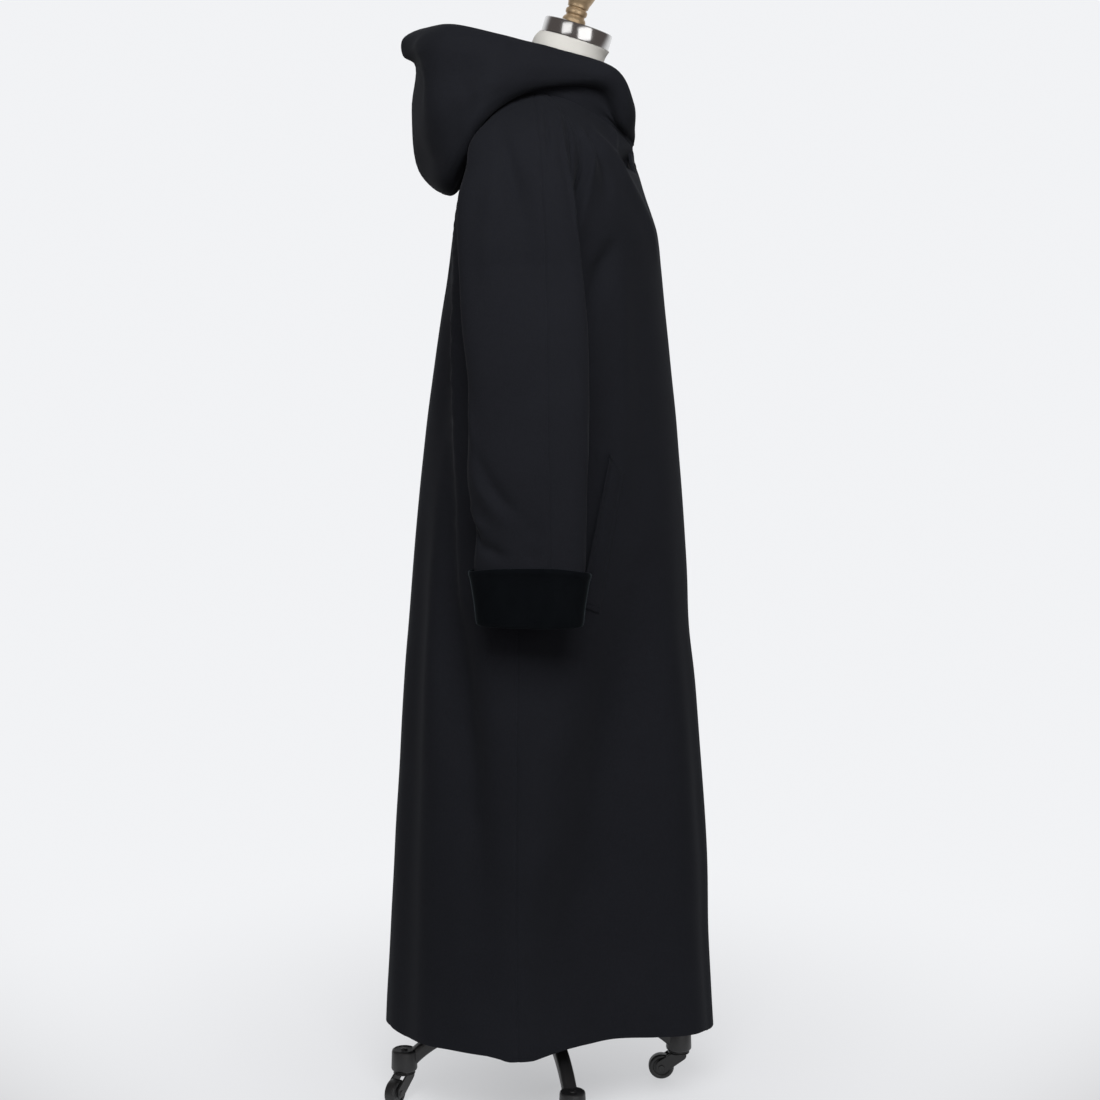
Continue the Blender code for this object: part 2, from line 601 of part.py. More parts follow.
WOOL = ((0.013, 0.014, 0.017), 0.85, 0.0)
VELVET = ((0.004, 0.005, 0.006), 0.75, 0.0)
BUTTON_BLACK = ((0.010, 0.010, 0.011), 0.35, 0.0)
LINEN = ((0.76, 0.72, 0.65), 0.90, 0.0)
CHROME = ((0.75, 0.75, 0.76), 0.10, 1.0)
BRONZE = ((0.43, 0.26, 0.10), 0.40, 1.0)
CAST_METAL = ((0.033, 0.033, 0.035), 0.50, 1.0)
PLASTIC = ((0.020, 0.020, 0.021), 0.45, 0.0)

coat = bpy.data.objects.new("coat", None)
form = bpy.data.objects.new("form", None)
for holder in (coat, form):
    bpy.context.collection.objects.link(holder)


def make_object(name, points, faces, finish, holder, location=(0, 0, 0), rotation=None):
    """One closed piece as a named object with its own material."""
    mesh = bpy.data.meshes.new(name)
    mesh.from_pydata([tuple(point) for point in points], [], faces)
    shape = bmesh.new()
    shape.from_mesh(mesh)
    bmesh.ops.recalc_face_normals(shape, faces=shape.faces)
    shape.to_mesh(mesh)
    shape.free()
    piece = bpy.data.objects.new(name, mesh)
    bpy.context.collection.objects.link(piece)
    piece.parent = holder
    piece.location = location
    if rotation is not None:
        piece.rotation_euler = rotation
    mesh.materials.append(make_material(name, *finish))
    return piece


def ring_solid(rings, closed_section=False):
    """Points and faces of a skin over rings of equal size, capped at both ends or closed on itself."""
    count = len(rings)
    around = len(rings[0])
    points = [point for ring in rings for point in ring]
    faces = []
    for ring in range(count if closed_section else count - 1):
        after = (ring + 1) % count
        for spot in range(around):
            turn = (spot + 1) % around
            faces.append([ring * around + spot, ring * around + turn,
                          after * around + turn, after * around + spot])
    if not closed_section:
        faces.append(list(range(around - 1, -1, -1)))
        faces.append([(count - 1) * around + spot for spot in range(around)])
    return points, faces


def lathe_solid(profile, sides, first_angle=0.0):
    """Points and faces of a turned piece. A profile point on the axis becomes one vertex."""
    points = []
    rings = []
    for radius, height in profile:
        start = len(points)
        if radius < 1e-9:
            points.append((0, 0, height))
            rings.append([start])
        else:
            angles = [first_angle + 2 * math.pi * side / sides for side in range(sides)]
            points += [(radius * math.cos(angle), radius * math.sin(angle), height) for angle in angles]
            rings.append(list(range(start, start + sides)))
    faces = []
    for lower, upper in zip(rings, rings[1:]):
        for side in range(sides):
            turn = (side + 1) % sides
            corners = [lower[side % len(lower)], lower[turn % len(lower)],
                       upper[turn % len(upper)], upper[side % len(upper)]]
            faces.append(list(dict.fromkeys(corners)))
    for ring, flip in ((rings[0], True), (rings[-1], False)):
        if len(ring) > 1:
            faces.append(list(reversed(ring)) if flip else ring)
    return points, faces


def join_pieces(target, others):
    """Unites closed pieces with a target and keeps one body."""
    for other in others:
        union = target.modifiers.new("Union", "BOOLEAN")
        union.operation = "UNION"
        union.solver = "EXACT"
        union.object = other
        other.hide_render = True
        other.display_type = "WIRE"
    bpy.context.view_layer.update()
    graph = bpy.context.evaluated_depsgraph_get()
    joined = bpy.data.meshes.new_from_object(target.evaluated_get(graph))
    target.modifiers.clear()
    target.data = joined
    for other in others:
        bpy.data.objects.remove(other, do_unlink=True)


# Wool panels: the fronts, the back and the sleeves share their seam points
panels = {}
for side in ("right", "left"):
    panels["front_" + side] = (front_grid(side), side)
    for half in ("front", "back"):
        panels["sleeve_" + half + "_" + side] = (sleeve_grid(side, half), side)
panels["back"] = (back_grid(), "right")
panels = {name: (grid, grid_normals(grid, side)) for name, (grid, side) in panels.items()}
seams = seam_table(panels)

# The left front passes under the right one, so it is drawn in near the front middle
under_grid, under_normals = panels["front_left"]
under_step = WOOL_WALL + LAP_CLEARANCE
walls = {name: wall_grids(name, grid, normals, seams, WOOL_WALL) for name, (grid, normals) in panels.items()}
for row, level in enumerate(BODY_LEVELS):
    places = np.abs(front_places(level))
    lap = lap_place(level)
    drawn = under_step * (1 - ease((places - lap * 1.1) / 0.30))
    for layer in walls["front_left"]:
        layer[row] -= under_normals[row] * drawn[:, None]

for name, (outer, inner) in walls.items():
    make_object(name, *wall_solid(outer, inner), WOOL, coat)

# Hood halves meet at the centre back
hoods = {}
for side in ("right", "left"):
    grid = hood_grid(side)
    hoods["hood_" + side] = (grid, grid_normals(grid, side))
hood_seams = seam_table(hoods)
for name, (grid, normals) in hoods.items():
    outer, inner = wall_grids(name, grid, normals, hood_seams, WOOL_WALL)
    make_object(name, *wall_solid(outer, inner), WOOL, coat)


# Turned-back cuffs follow the sleeve's own outline
def sleeve_ring(height):
    """Closed outline of a sleeve at a height below the underarm, with its level outward normals."""
    level = float(np.interp(height, SLEEVE_TABLE["height"], np.arange(len(SLEEVE))))
    places = np.linspace(0, 1, CUFF_COLUMNS + 1)[:-1]
    front = sleeve_section(level, places, "front")
    back = sleeve_section(level, places, "back")
    ring = np.concatenate([front, back])
    ring[:, 2] = height
    along = np.roll(ring, -1, axis=0) - np.roll(ring, 1, axis=0)
    normal = unit(np.stack([along[:, 1], -along[:, 0], np.zeros(len(ring))], axis=1))
    return ring, normal


for side in ("right", "left"):
    rings = []
    for step, height in CUFF:
        ring, normal = sleeve_ring(max(height, SLEEVE_TABLE["height"][0]))
        ring[:, 2] = height
        rings.append(on_side(ring + normal * step, side))
    points, faces = ring_solid(rings, closed_section=True)
    make_object("cuff_" + side, points, faces, VELVET, coat)


# Pocket welts are made from the front's points, moved out
def panel_point(grid, normals, row_place, column_place):
    """A point and normal of a grid between its rows and columns."""
    row = min(int(row_place), grid.shape[0] - 2)
    column = min(int(column_place), grid.shape[1] - 2)
    up = row_place - row
    across = column_place - column
    weights = ((1 - up) * (1 - across), (1 - up) * across, up * (1 - across), up * across)
    corners = ((row, column), (row, column + 1), (row + 1, column), (row + 1, column + 1))
    point = sum(weight * grid[corner] for weight, corner in zip(weights, corners))
    normal = sum(weight * normals[corner] for weight, corner in zip(weights, corners))
    return point, unit(normal)


def find_on_panel(grid, normals, y, z):
    """The panel point with a given y and height, found by halving."""
    row_place = 0.0
    column_place = grid.shape[1] * 0.5
    for _ in range(8):
        low, high = 0.0, float(grid.shape[0] - 1)
        for _ in range(30):
            row_place = (low + high) / 2
            if panel_point(grid, normals, row_place, column_place)[0][2] < z:
                low = row_place
            else:
                high = row_place
        low, high = 4.0, float(grid.shape[1] - 1)
        for _ in range(30):
            column_place = (low + high) / 2
            if panel_point(grid, normals, row_place, column_place)[0][1] < y:
                low = column_place
            else:
                high = column_place
    return panel_point(grid, normals, row_place, column_place)


for side in ("right", "left"):
    grid, normals = panels["front_" + side]
    inner_face = []
    outer_face = []
    for step in np.linspace(0, 1, WELT_ROWS):
        y = WELT_TOP["y"] + (WELT_BOTTOM["y"] - WELT_TOP["y"]) * step
        z = WELT_TOP["z"] + (WELT_BOTTOM["z"] - WELT_TOP["z"]) * step
        for across in np.linspace(-1, 1, WELT_COLUMNS):
            aside = across * WELT_WIDTH / 2
            point, normal = find_on_panel(grid, normals, y + aside, z + aside * WELT_SKEW)
            inner_face.append(point + normal * TRIM_CLEARANCE)
            outer_face.append(point + normal * (TRIM_CLEARANCE + WELT_THICK))
    outer = np.array(outer_face).reshape(WELT_ROWS, WELT_COLUMNS, 3)
    inner = np.array(inner_face).reshape(WELT_ROWS, WELT_COLUMNS, 3)
    make_object("welt_" + side, *wall_solid(outer, inner), WOOL, coat)

# Neck button lies on the right front's edge
button_grid, button_normals = panels["front_right"]
button_row = int(np.argmin(np.abs(button_grid[:, 2, 2] - BUTTON_HEIGHT)))
button_point = button_grid[button_row, 2]
button_normal = button_normals[button_row, 2]
button_profile = [(0, 0), (BUTTON_RADIUS * 0.9, 0), (BUTTON_RADIUS, BUTTON_THICK * 0.4),
                  (BUTTON_RADIUS * 0.92, BUTTON_THICK), (BUTTON_RADIUS * 0.6, BUTTON_THICK * 0.7),
                  (0, BUTTON_THICK * 0.7)]
points, faces = lathe_solid(button_profile, 20)
button_lean = math.atan2(-button_normal[1], button_normal[2])
button_place = button_point + button_normal * (SEAM_GAP + TRIM_CLEARANCE)
make_object("button", points, faces, BUTTON_BLACK, coat, tuple(button_place), (button_lean, 0, 0))


# Dress form
def torso_rings():
    """Rings of the torso, squared a little across the shoulders."""
    rings = []
    for numbers in TORSO:
        row = dict(zip(TORSO_COLUMNS.split(), numbers))
        ring = []
        middle = (row["front"] + row["back"]) / 2
        deep = (row["back"] - row["front"]) / 2
        power = 2 / row["squareness"]
        for side in range(ROUND_SIDES):
            angle = 2 * math.pi * side / ROUND_SIDES
            across = math.copysign(abs(math.cos(angle)) ** power, math.cos(angle)) * row["half_width"]
            along = math.copysign(abs(math.sin(angle)) ** power, math.sin(angle)) * deep
            rise = along * math.tan(math.radians(row["tilt"]))
            ring.append((across, middle + along, row["height"] + rise))
        rings.append(ring)
    return rings


points, faces = ring_solid(torso_rings())
make_object("torso", points, faces, LINEN, form)

band_profile = [(BAND_RADIUS - 0.001, 0), (BAND_RADIUS, 0.001), (BAND_RADIUS, BAND_HEIGHT - 0.001),
                (BAND_RADIUS - 0.001, BAND_HEIGHT)]
points, faces = lathe_solid(band_profile, ROUND_SIDES)
make_object("neck_band", points, faces, CHROME, form, BAND_FOOT, (NECK_TILT, 0, 0))

neck_axis = Matrix.Rotation(NECK_TILT, 3, "X").col[2]
finial_foot = tuple(foot + axis * (BAND_HEIGHT + SEAM_GAP) for foot, axis in zip(BAND_FOOT, neck_axis))
points, faces = lathe_solid(FINIAL, 24)
make_object("finial", points, faces, BRONZE, form, finial_foot, (NECK_TILT, 0, 0))

pole_profile = [(POLE_RADIUS, HUB_HIGH + SEAM_GAP), (POLE_RADIUS, TORSO[0][0] - SEAM_GAP)]
points, faces = lathe_solid(pole_profile, 20)
make_object("pole", points, faces, CAST_METAL, form, (0, STAND_Y, 0))

hub_corner = HUB_RADIUS / math.cos(math.pi / 8)
points, faces = lathe_solid([(hub_corner, HUB_LOW), (hub_corner, HUB_HIGH)], 8, LEG_TURN + math.pi / 8)
make_object("hub", points, faces, CAST_METAL, form, (0, STAND_Y, 0))


# Stand legs with their caster housings, then the casters
def leg_rings():
    """Rectangular rings along a leg's arched path, in the plane of the leg."""
    places = np.linspace(0, 1, LEG_STEPS + 1)
    path = bezier(*LEG_PATH, places)
    along = unit(np.gradient(path, axis=0))
    along[0] = (1, 0)
    rings = []
    for (reach, height), (run, rise) in zip(path, along):
        low = (reach + rise * LEG_DEEP / 2, height - run * LEG_DEEP / 2)
        high = (reach - rise * LEG_DEEP / 2, height + run * LEG_DEEP / 2)
        half = LEG_WIDTH / 2
        rings.append([(low[0], -half, low[1]), (low[0], half, low[1]), (high[0], half, high[1]),
                      (high[0], -half, high[1])])
    return rings


def prism(outline, low, high):
    """A flat outline in the plane of a caster, given a thickness across it."""
    points = [(along, across, height) for across in (low, high) for along, height in outline]
    count = len(outline)
    faces = [list(range(count)), list(range(2 * count - 1, count - 1, -1))]
    for spot in range(count):
        turn = (spot + 1) % count
        faces.append([spot, turn, count + turn, count + spot])
    return points, faces


def turned_across(profile, sides, first_angle=0.0):
    """A turned piece with its axis along Y."""
    points, faces = lathe_solid(profile, sides, first_angle)
    return [(x, z, -y) for x, y, z in points], faces


cheek_inside = WHEEL_WIDTH / 2 + CHEEK_CLEARANCE
cheek_outside = cheek_inside + CHEEK_THICK
wheel_corner = WHEEL_RADIUS / math.cos(math.pi / WHEEL_SIDES)
for leg in range(LEG_COUNT):
    number = str(leg + 1)
    turn = LEG_TURN + leg * math.pi / 2
    foot = (0, STAND_Y, 0)
    leg_piece = make_object("leg_" + number, *ring_solid(leg_rings()), CAST_METAL, form, foot, (0, 0, turn))
    housing_points, housing_faces = lathe_solid(HOUSING, 24)
    housing_points = [(x + CASTER_RADIUS, y, z) for x, y, z in housing_points]
    housing = make_object("housing", housing_points, housing_faces, CAST_METAL, form, foot, (0, 0, turn))
    join_pieces(leg_piece, [housing])

    stem = (CASTER_RADIUS * math.cos(turn), STAND_Y + CASTER_RADIUS * math.sin(turn), 0)
    trail = TRAIL_ANGLES[leg]
    fork = make_object("fork_" + number, *lathe_solid(RACEWAY, 24), PLASTIC, form, stem, (0, 0, trail))
    cheeks = [make_object("cheek", *prism(CHEEK, low, high), PLASTIC, form, stem, (0, 0, trail))
              for low, high in ((-cheek_outside, -cheek_inside), (cheek_inside, cheek_outside))]
    axle_profile = [(AXLE_RADIUS, -cheek_outside - 0.001), (AXLE_RADIUS, cheek_outside + 0.001)]
    axle_points, axle_faces = turned_across(axle_profile, 16)
    axle_points = [(x + CASTER_TRAIL, y, z + WHEEL_RADIUS) for x, y, z in axle_points]
    axle = make_object("axle", axle_points, axle_faces, PLASTIC, form, stem, (0, 0, trail))
    join_pieces(fork, cheeks + [axle])

    behind = (CASTER_TRAIL * math.cos(trail), CASTER_TRAIL * math.sin(trail))
    hub_place = (stem[0] + behind[0], stem[1] + behind[1], WHEEL_RADIUS)
    half = WHEEL_WIDTH / 2
    tread = [(BORE_RADIUS, -half), (wheel_corner * 0.93, -half), (wheel_corner, -half + 0.0015),
             (wheel_corner, half - 0.0015), (wheel_corner * 0.93, half), (BORE_RADIUS, half)]
    half_turn = math.pi / WHEEL_SIDES
    wheel_rings = [turned_across([spot, spot], WHEEL_SIDES, half_turn)[0][:WHEEL_SIDES] for spot in tread]
    wheel_points, wheel_faces = ring_solid(wheel_rings, closed_section=True)
    make_object("wheel_" + number, wheel_points, wheel_faces, PLASTIC, form, hub_place, (0, 0, trail))
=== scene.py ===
"""Looks of a hooded wool coat on a limbless dress form with a wheeled stand.

Metres, +Z up. The coat faces -Y and the wearer's right side is at -X. "out" is the distance from the middle
plane, the same on both sides.
"""

import math

import bmesh
import bpy
import numpy as np
from mathutils import Matrix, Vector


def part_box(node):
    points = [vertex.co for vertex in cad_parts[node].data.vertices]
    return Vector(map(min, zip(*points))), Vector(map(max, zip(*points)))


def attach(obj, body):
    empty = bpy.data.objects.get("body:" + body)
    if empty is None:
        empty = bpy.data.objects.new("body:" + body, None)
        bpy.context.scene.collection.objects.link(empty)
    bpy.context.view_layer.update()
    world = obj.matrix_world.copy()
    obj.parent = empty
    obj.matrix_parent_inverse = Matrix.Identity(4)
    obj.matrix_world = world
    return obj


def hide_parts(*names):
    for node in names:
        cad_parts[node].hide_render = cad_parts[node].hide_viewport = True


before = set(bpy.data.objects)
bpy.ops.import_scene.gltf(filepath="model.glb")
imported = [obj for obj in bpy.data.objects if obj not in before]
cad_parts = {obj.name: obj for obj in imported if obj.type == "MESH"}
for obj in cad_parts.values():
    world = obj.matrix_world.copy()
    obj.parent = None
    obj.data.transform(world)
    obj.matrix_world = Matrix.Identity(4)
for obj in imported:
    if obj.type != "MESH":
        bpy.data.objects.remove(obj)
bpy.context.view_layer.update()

# Studio. A pale floor runs out into a white backdrop behind the coat and a dark room before it, glowing with
# painted light in their tones, about half its brightness even under the coat. One soft box hangs above and
# two larger ones stand by the camera, which is on the coat's right and looks a little down.
CAMERA_PLACE = (-3.2, 0.0, 1.27)
CAMERA_DOWN = math.radians(8.25)
FOCAL_PIXELS = 2258.0
PICTURE_PIXELS = 1100.0
SENSOR = 36.0
BACKDROP = (0.885, 0.893, 0.912)
DARK_ROOM = (0.105, 0.092, 0.088)
ROOM_TURN = (0.30, 0.90)
ROOM_DEPTH = 0.9
FLOOR_COLOUR = (0.72, 0.73, 0.755)
FLOOR_RADIUS = 14.0
FLOOR_SIDES = 64
FLOOR_GLOSS = {"Roughness": 0.6, "Specular IOR Level": 0.2}
FLOOR_GRAIN = 0.35
FLOOR_SHADE = 0.985
FADE_START = -1.10
FADE_END = 1.20
LIGHT_COLUMNS = "name place target power width height spread mirrored"
LIGHTS = [
    ("softbox_above", (-2.6, -0.05, 2.95), (0.0, 0.0, 1.40), 43.0, 2.0, 1.6, 100.0, False),
    ("softbox_back", (-3.15, 2.1, 2.5), (0.0, 0.0, 1.4), 16.0, 2.2, 1.9, 180.0, True),
    ("softbox_front", (-3.43, -1.7, 1.25), (0.0, 0.0, 1.4), 34.0, 3.1, 2.4, 180.0, True),
]


class Wire:
    """One socket of a material's nodes. Sums and products of wires and numbers add Math nodes."""

    def __init__(self, tree, socket):
        self.tree = tree
        self.socket = socket

    def node(self, kind, settings, sockets, output=0):
        """Adds a node, sets it up, fills its sockets with values or wires and gives one of its outputs."""
        made = self.tree.nodes.new("ShaderNode" + kind)
        for name, value in settings.items():
            setattr(made, name, value)
        for name, value in sockets.items():
            if isinstance(value, Wire):
                self.tree.links.new(value.socket, made.inputs[name])
            else:
                made.inputs[name].default_value = value
        return Wire(self.tree, made.outputs[output])

    def maths(self, operation, first, second):
        return self.node("Math", {"operation": operation}, {0: first, 1: second})

    def __add__(self, other):
        return self.maths("ADD", self, other)

    __radd__ = __add__

    def __mul__(self, other):
        return self.maths("MULTIPLY", self, other)

    __rmul__ = __mul__

    def sine(self):
        """The sine of this wire's value."""
        return self.maths("SINE", self, 0.0)

    def part(self, axis):
        """One axis of the place that this wire holds."""
        return self.node("SeparateXYZ", {}, {"Vector": self}, axis)

    def reach(self):
        """How far the place that this wire holds is from the origin."""
        return self.node("VectorMath", {"operation": "LENGTH"}, {0: self}, 1)

    def noise(self, size, detail=2.0):
        """Noise from 0 to 1 with grains of a given size in metres, at the place that this wire holds."""
        return self.node("TexNoise", {}, {"Vector": self, "Scale": 1.0 / size, "Detail": detail})

    def stretched(self, across, along, up):
        """This place with each axis scaled."""
        return self.node("VectorMath", {"operation": "MULTIPLY"}, {0: self, 1: (across, along, up)})

    def blend(self, low, high):
        """A colour between two colours, by the value of this wire."""
        sockets = {"Factor": self, 6: (*low, 1.0), 7: (*high, 1.0)}
        return self.node("Mix", {"data_type": "RGBA"}, sockets, 2)

    def bump(self, strength, distance):
        """A normal raised by the value of this wire."""
        return self.node("Bump", {}, {"Strength": strength, "Distance": distance, "Height": self})

    def step(self, low, high):
        """Rises smoothly from 0 to 1 between two values of this wire."""
        sockets = {"Value": self, "From Min": low, "From Max": high}
        return self.node("MapRange", {"interpolation_type": "SMOOTHSTEP"}, sockets)

    def feeds(self, shader, name):
        """Links this wire to a shader's socket."""
        self.tree.links.new(self.socket, shader.inputs[name])


def new_finish(name, fixed):
    """A material, its shader with the values that are the same all over, and the place on the piece."""
    material = bpy.data.materials.new(name)
    material.use_nodes = True
    shader = material.node_tree.nodes["Principled BSDF"]
    for socket, value in fixed.items():
        shader.inputs[socket].default_value = value
    places = material.node_tree.nodes.new("ShaderNodeTexCoord")
    return material, shader, Wire(material.node_tree, places.outputs["Object"])


def circle(radius, height, sides):
    """Points of a level circle about the upright axis."""
    angles = [2 * math.pi * side / sides for side in range(sides)]
    return [(radius * math.cos(angle), radius * math.sin(angle), height) for angle in angles]


camera_data = bpy.data.cameras.new("camera")
camera_data.sensor_width = SENSOR
camera_data.lens = FOCAL_PIXELS / PICTURE_PIXELS * SENSOR
camera = bpy.data.objects.new("camera", camera_data)
camera.location = CAMERA_PLACE
camera.rotation_euler = (math.pi / 2 - CAMERA_DOWN, 0.0, -math.pi / 2)
bpy.context.collection.objects.link(camera)
bpy.context.scene.camera = camera
bpy.context.scene.view_settings.view_transform = "Standard"

world = bpy.data.worlds.new("backdrop")
world.use_nodes = True
world_place = Wire(world.node_tree, world.node_tree.nodes.new("ShaderNodeTexCoord").outputs["Generated"])
world_tone = world_place.part("X").step(*ROOM_TURN).blend(DARK_ROOM, BACKDROP)
world_tone.feeds(world.node_tree.nodes["Background"], "Color")
bpy.context.scene.world = world

for numbers in LIGHTS:
    light_row = dict(zip(LIGHT_COLUMNS.split(), numbers))
    light_data = bpy.data.lights.new(light_row["name"], "AREA")
    light_data.energy = light_row["power"]
    light_data.shape = "RECTANGLE"
    light_data.size = light_row["width"]
    light_data.size_y = light_row["height"]
    light = bpy.data.objects.new(light_row["name"], light_data)
    light.location = light_row["place"]
    away = np.array(light_row["place"]) - np.array(light_row["target"])
    light.rotation_euler = (math.atan2(math.hypot(away[0], away[1]), away[2]), 0.0,
                            math.atan2(away[1], away[0]) + math.pi / 2)
    light.visible_camera = False
    light.visible_glossy = light_row["mirrored"]
    light_data.spread = math.radians(light_row["spread"])
    bpy.context.collection.objects.link(light)

floor_finish, floor_shader, floor_place = new_finish("pale_floor", FLOOR_GLOSS)
floor_patch = tuple(value * FLOOR_SHADE for value in FLOOR_COLOUR)
floor_grain = floor_place.noise(size=FLOOR_GRAIN, detail=3.0)
floor_grain.blend(FLOOR_COLOUR, floor_patch).feeds(floor_shader, "Base Color")
# Painted light: the floor glows with the room's tone in the direction it runs out, dark before the coat and
# white behind it. Even at the coat's feet the glow gives about half the floor's brightness and washes out
# the coat's shadow.
room_edge = {0: floor_place, 1: (ROOM_DEPTH, 0.0, 0.0)}
floor_ahead = floor_place.node("VectorMath", {"operation": "ADD"}, room_edge)
floor_turn = floor_ahead.maths("DIVIDE", floor_ahead.part("X"), floor_ahead.reach())
floor_glow_tone = floor_turn.step(*ROOM_TURN).blend(DARK_ROOM, BACKDROP)
floor_glow = floor_place.node("Emission", {}, {"Color": floor_glow_tone})
floor_lit = Wire(floor_finish.node_tree, floor_shader.outputs["BSDF"])
floor_glow_share = floor_place.reach().step(FADE_START, FADE_END)
floor_end = floor_place.node("MixShader", {}, {"Fac": floor_glow_share, 1: floor_lit, 2: floor_glow})
floor_end.feeds(floor_finish.node_tree.nodes["Material Output"], "Surface")
floor_mesh = bpy.data.meshes.new("floor")
floor_mesh.from_pydata(circle(FLOOR_RADIUS, 0.0, FLOOR_SIDES), [], [list(range(FLOOR_SIDES))])
floor_mesh.materials.append(floor_finish)
floor = bpy.data.objects.new("floor", floor_mesh)
bpy.context.collection.objects.link(floor)

# Stand. A straight pole in a cast hub with four arched legs, each ending in a round caster housing. It is
# cast metal with a black satin coating, and the pole carries the form.
ROOT = "coat_and_form"
STAND_FOOT = (0.0, 0.010, 0.0)
LEG_TURN = math.radians(11.5)
LEG_COUNT = 4
CASTER_RADIUS = 0.207
HUB_RADIUS = 0.0335
HUB_LOW = 0.080
HUB_HIGH = 0.145
# Shares of the hub's radius, and heights
HUB = [(0.70, HUB_LOW), (0.95, HUB_LOW + 0.001), (1.00, HUB_LOW + 0.004), (1.00, HUB_HIGH - 0.008),
       (0.90, HUB_HIGH - 0.002), (0.60, HUB_HIGH)]
HUB_SIDES = 48
POLE_RADIUS = 0.0125
POLE_FOOT = HUB_HIGH + 0.0003
POLE_TOP = 0.7797
POLE_SIDES = 40
LEG_WIDTH = 0.020
LEG_DEEP = 0.020
LEG_CORNER = 0.006
LEG_PATH = [(0.0323, 0.106), (0.100, 0.112), (0.160, 0.098), (0.198, 0.059)]
LEG_STEPS = 28
CORNER_STEPS = 5
HOUSING_SIDES = 48
HOUSING = [(0.0000, 0.0452), (0.0172, 0.0452), (0.0184, 0.0462), (0.0190, 0.0480), (0.0186, 0.0600),
           (0.0181, 0.0725), (0.0174, 0.0748), (0.0160, 0.0759), (0.0146, 0.0760), (0.0138, 0.0753),
           (0.0052, 0.0751), (0.0046, 0.0763), (0.0034, 0.0768), (0.0000, 0.0769)]
COATING_LOW = (0.006, 0.006, 0.0065)
COATING_HIGH = (0.013, 0.013, 0.014)


def unit(vectors):
    """Vectors scaled to length one."""
    length = np.linalg.norm(vectors, axis=-1, keepdims=True)
    return vectors / np.maximum(length, 1e-12)


def bezier(start, start_handle, end_handle, end, place):
    """Points of a cubic curve at an array of places from 0 to 1."""
    place = np.asarray(place, dtype=float)[:, None]
    back = 1 - place
    return (back ** 3 * np.array(start) + 3 * back ** 2 * place * np.array(start_handle)
            + 3 * back * place ** 2 * np.array(end_handle) + place ** 3 * np.array(end))


def lathe(profile, sides):
    """A turned skin, as its points and faces. A profile point on the axis becomes one vertex."""
    points = []
    rings = []
    for radius, height in profile:
        start = len(points)
        points += circle(radius, height, sides if radius > 1e-9 else 1)
        rings.append(list(range(start, len(points))))
    faces = []
    for lower, upper in zip(rings, rings[1:]):
        for side in range(sides):
            turn = (side + 1) % sides
            corners = [lower[side % len(lower)], lower[turn % len(lower)],
                       upper[turn % len(upper)], upper[side % len(upper)]]
            faces.append(list(dict.fromkeys(corners)))
    for ring in (rings[0], rings[-1]):
        if len(ring) > 1:
            faces.append(ring)
    return np.array(points), faces


def ring_skin(rings, closed_section=False):
    """A skin over rings of equal size, capped at both ends or closed on itself."""
    count, around = len(rings), len(rings[0])
    points = np.concatenate([np.asarray(ring, dtype=float) for ring in rings])
    faces = []
    for ring in range(count if closed_section else count - 1):
        after = (ring + 1) % count
        for spot in range(around):
            turn = (spot + 1) % around
            corners = [(ring, spot), (ring, turn), (after, turn), (after, spot)]
            faces.append([row * around + column for row, column in corners])
    if not closed_section:
        faces.append(list(range(around)))
        faces.append([(count - 1) * around + spot for spot in range(around)])
    return points, faces


def placed(skin, turn=0.0, spot=(0.0, 0.0, 0.0), axis="Z"):
    """A skin turned about an axis and then moved."""
    points, faces = skin
    return points @ np.array(Matrix.Rotation(turn, 3, axis)).T + np.array(spot), faces


def add_piece(name, mesh, finish, body, nodes):
    """A mesh as a smooth piece with its finish. It rides on a body and stands for the named nodes."""
    mesh.polygons.foreach_set("use_smooth", [True] * len(mesh.polygons))
    mesh.materials.append(finish)
    piece = bpy.data.objects.new(name, mesh)
    bpy.context.collection.objects.link(piece)
    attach(piece, body)
    if nodes:
        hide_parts(*nodes)
    return piece


def make_piece(name, skin, finish, body, nodes=(), sharp=38.0):
    """One closed piece from a skin, with a sharp line wherever its faces meet at more than an angle."""
    points, faces = skin
    mesh = bpy.data.meshes.new(name)
    mesh.from_pydata(points.tolist(), [], faces)
    shape = bmesh.new()
    shape.from_mesh(mesh)
    bmesh.ops.recalc_face_normals(shape, faces=shape.faces)
    shape.to_mesh(mesh)
    shape.free()
    piece = add_piece(name, mesh, finish, body, nodes)
    mesh.set_sharp_from_angle(angle=math.radians(sharp))
    return piece


def clouded(cloud, shader, low, high, rough, rougher):
    """Lets the colour and the roughness of a finish drift with one cloud."""
    cloud.blend(low, high).feeds(shader, "Base Color")
    (rough + rougher * cloud).feeds(shader, "Roughness")


coating, coating_shader, coating_place = new_finish("black_coating", {"Specular IOR Level": 0.55})
coating_cloud = coating_place.noise(size=0.030, detail=4.0)
clouded(coating_cloud, coating_shader, COATING_LOW, COATING_HIGH, rough=0.36, rougher=0.22)
coating_grain = coating_place.noise(size=0.0009, detail=3.0)
coating_grain.bump(strength=0.25, distance=0.0003).feeds(coating_shader, "Normal")


def leg_rings():
    """Rings with rounded corners along a leg's arched path, in the plane of the leg."""
    path = bezier(*LEG_PATH, np.linspace(0, 1, LEG_STEPS + 1))
    along = unit(np.gradient(path, axis=0))
    along[0] = (1.0, 0.0)
    quarter = np.linspace(0, math.pi / 2, CORNER_STEPS)
    rings = []
    for (reach, height), (run, rise) in zip(path, along):
        ring = []
        for corner, (wide, deep) in enumerate(((1, 1), (-1, 1), (-1, -1), (1, -1))):
            for angle in quarter + corner * math.pi / 2:
                across = wide * (LEG_WIDTH / 2 - LEG_CORNER) + LEG_CORNER * math.cos(angle)
                up = deep * (LEG_DEEP / 2 - LEG_CORNER) + LEG_CORNER * math.sin(angle)
                ring.append((reach - rise * up, across, height + run * up))
        rings.append(ring)
    return rings


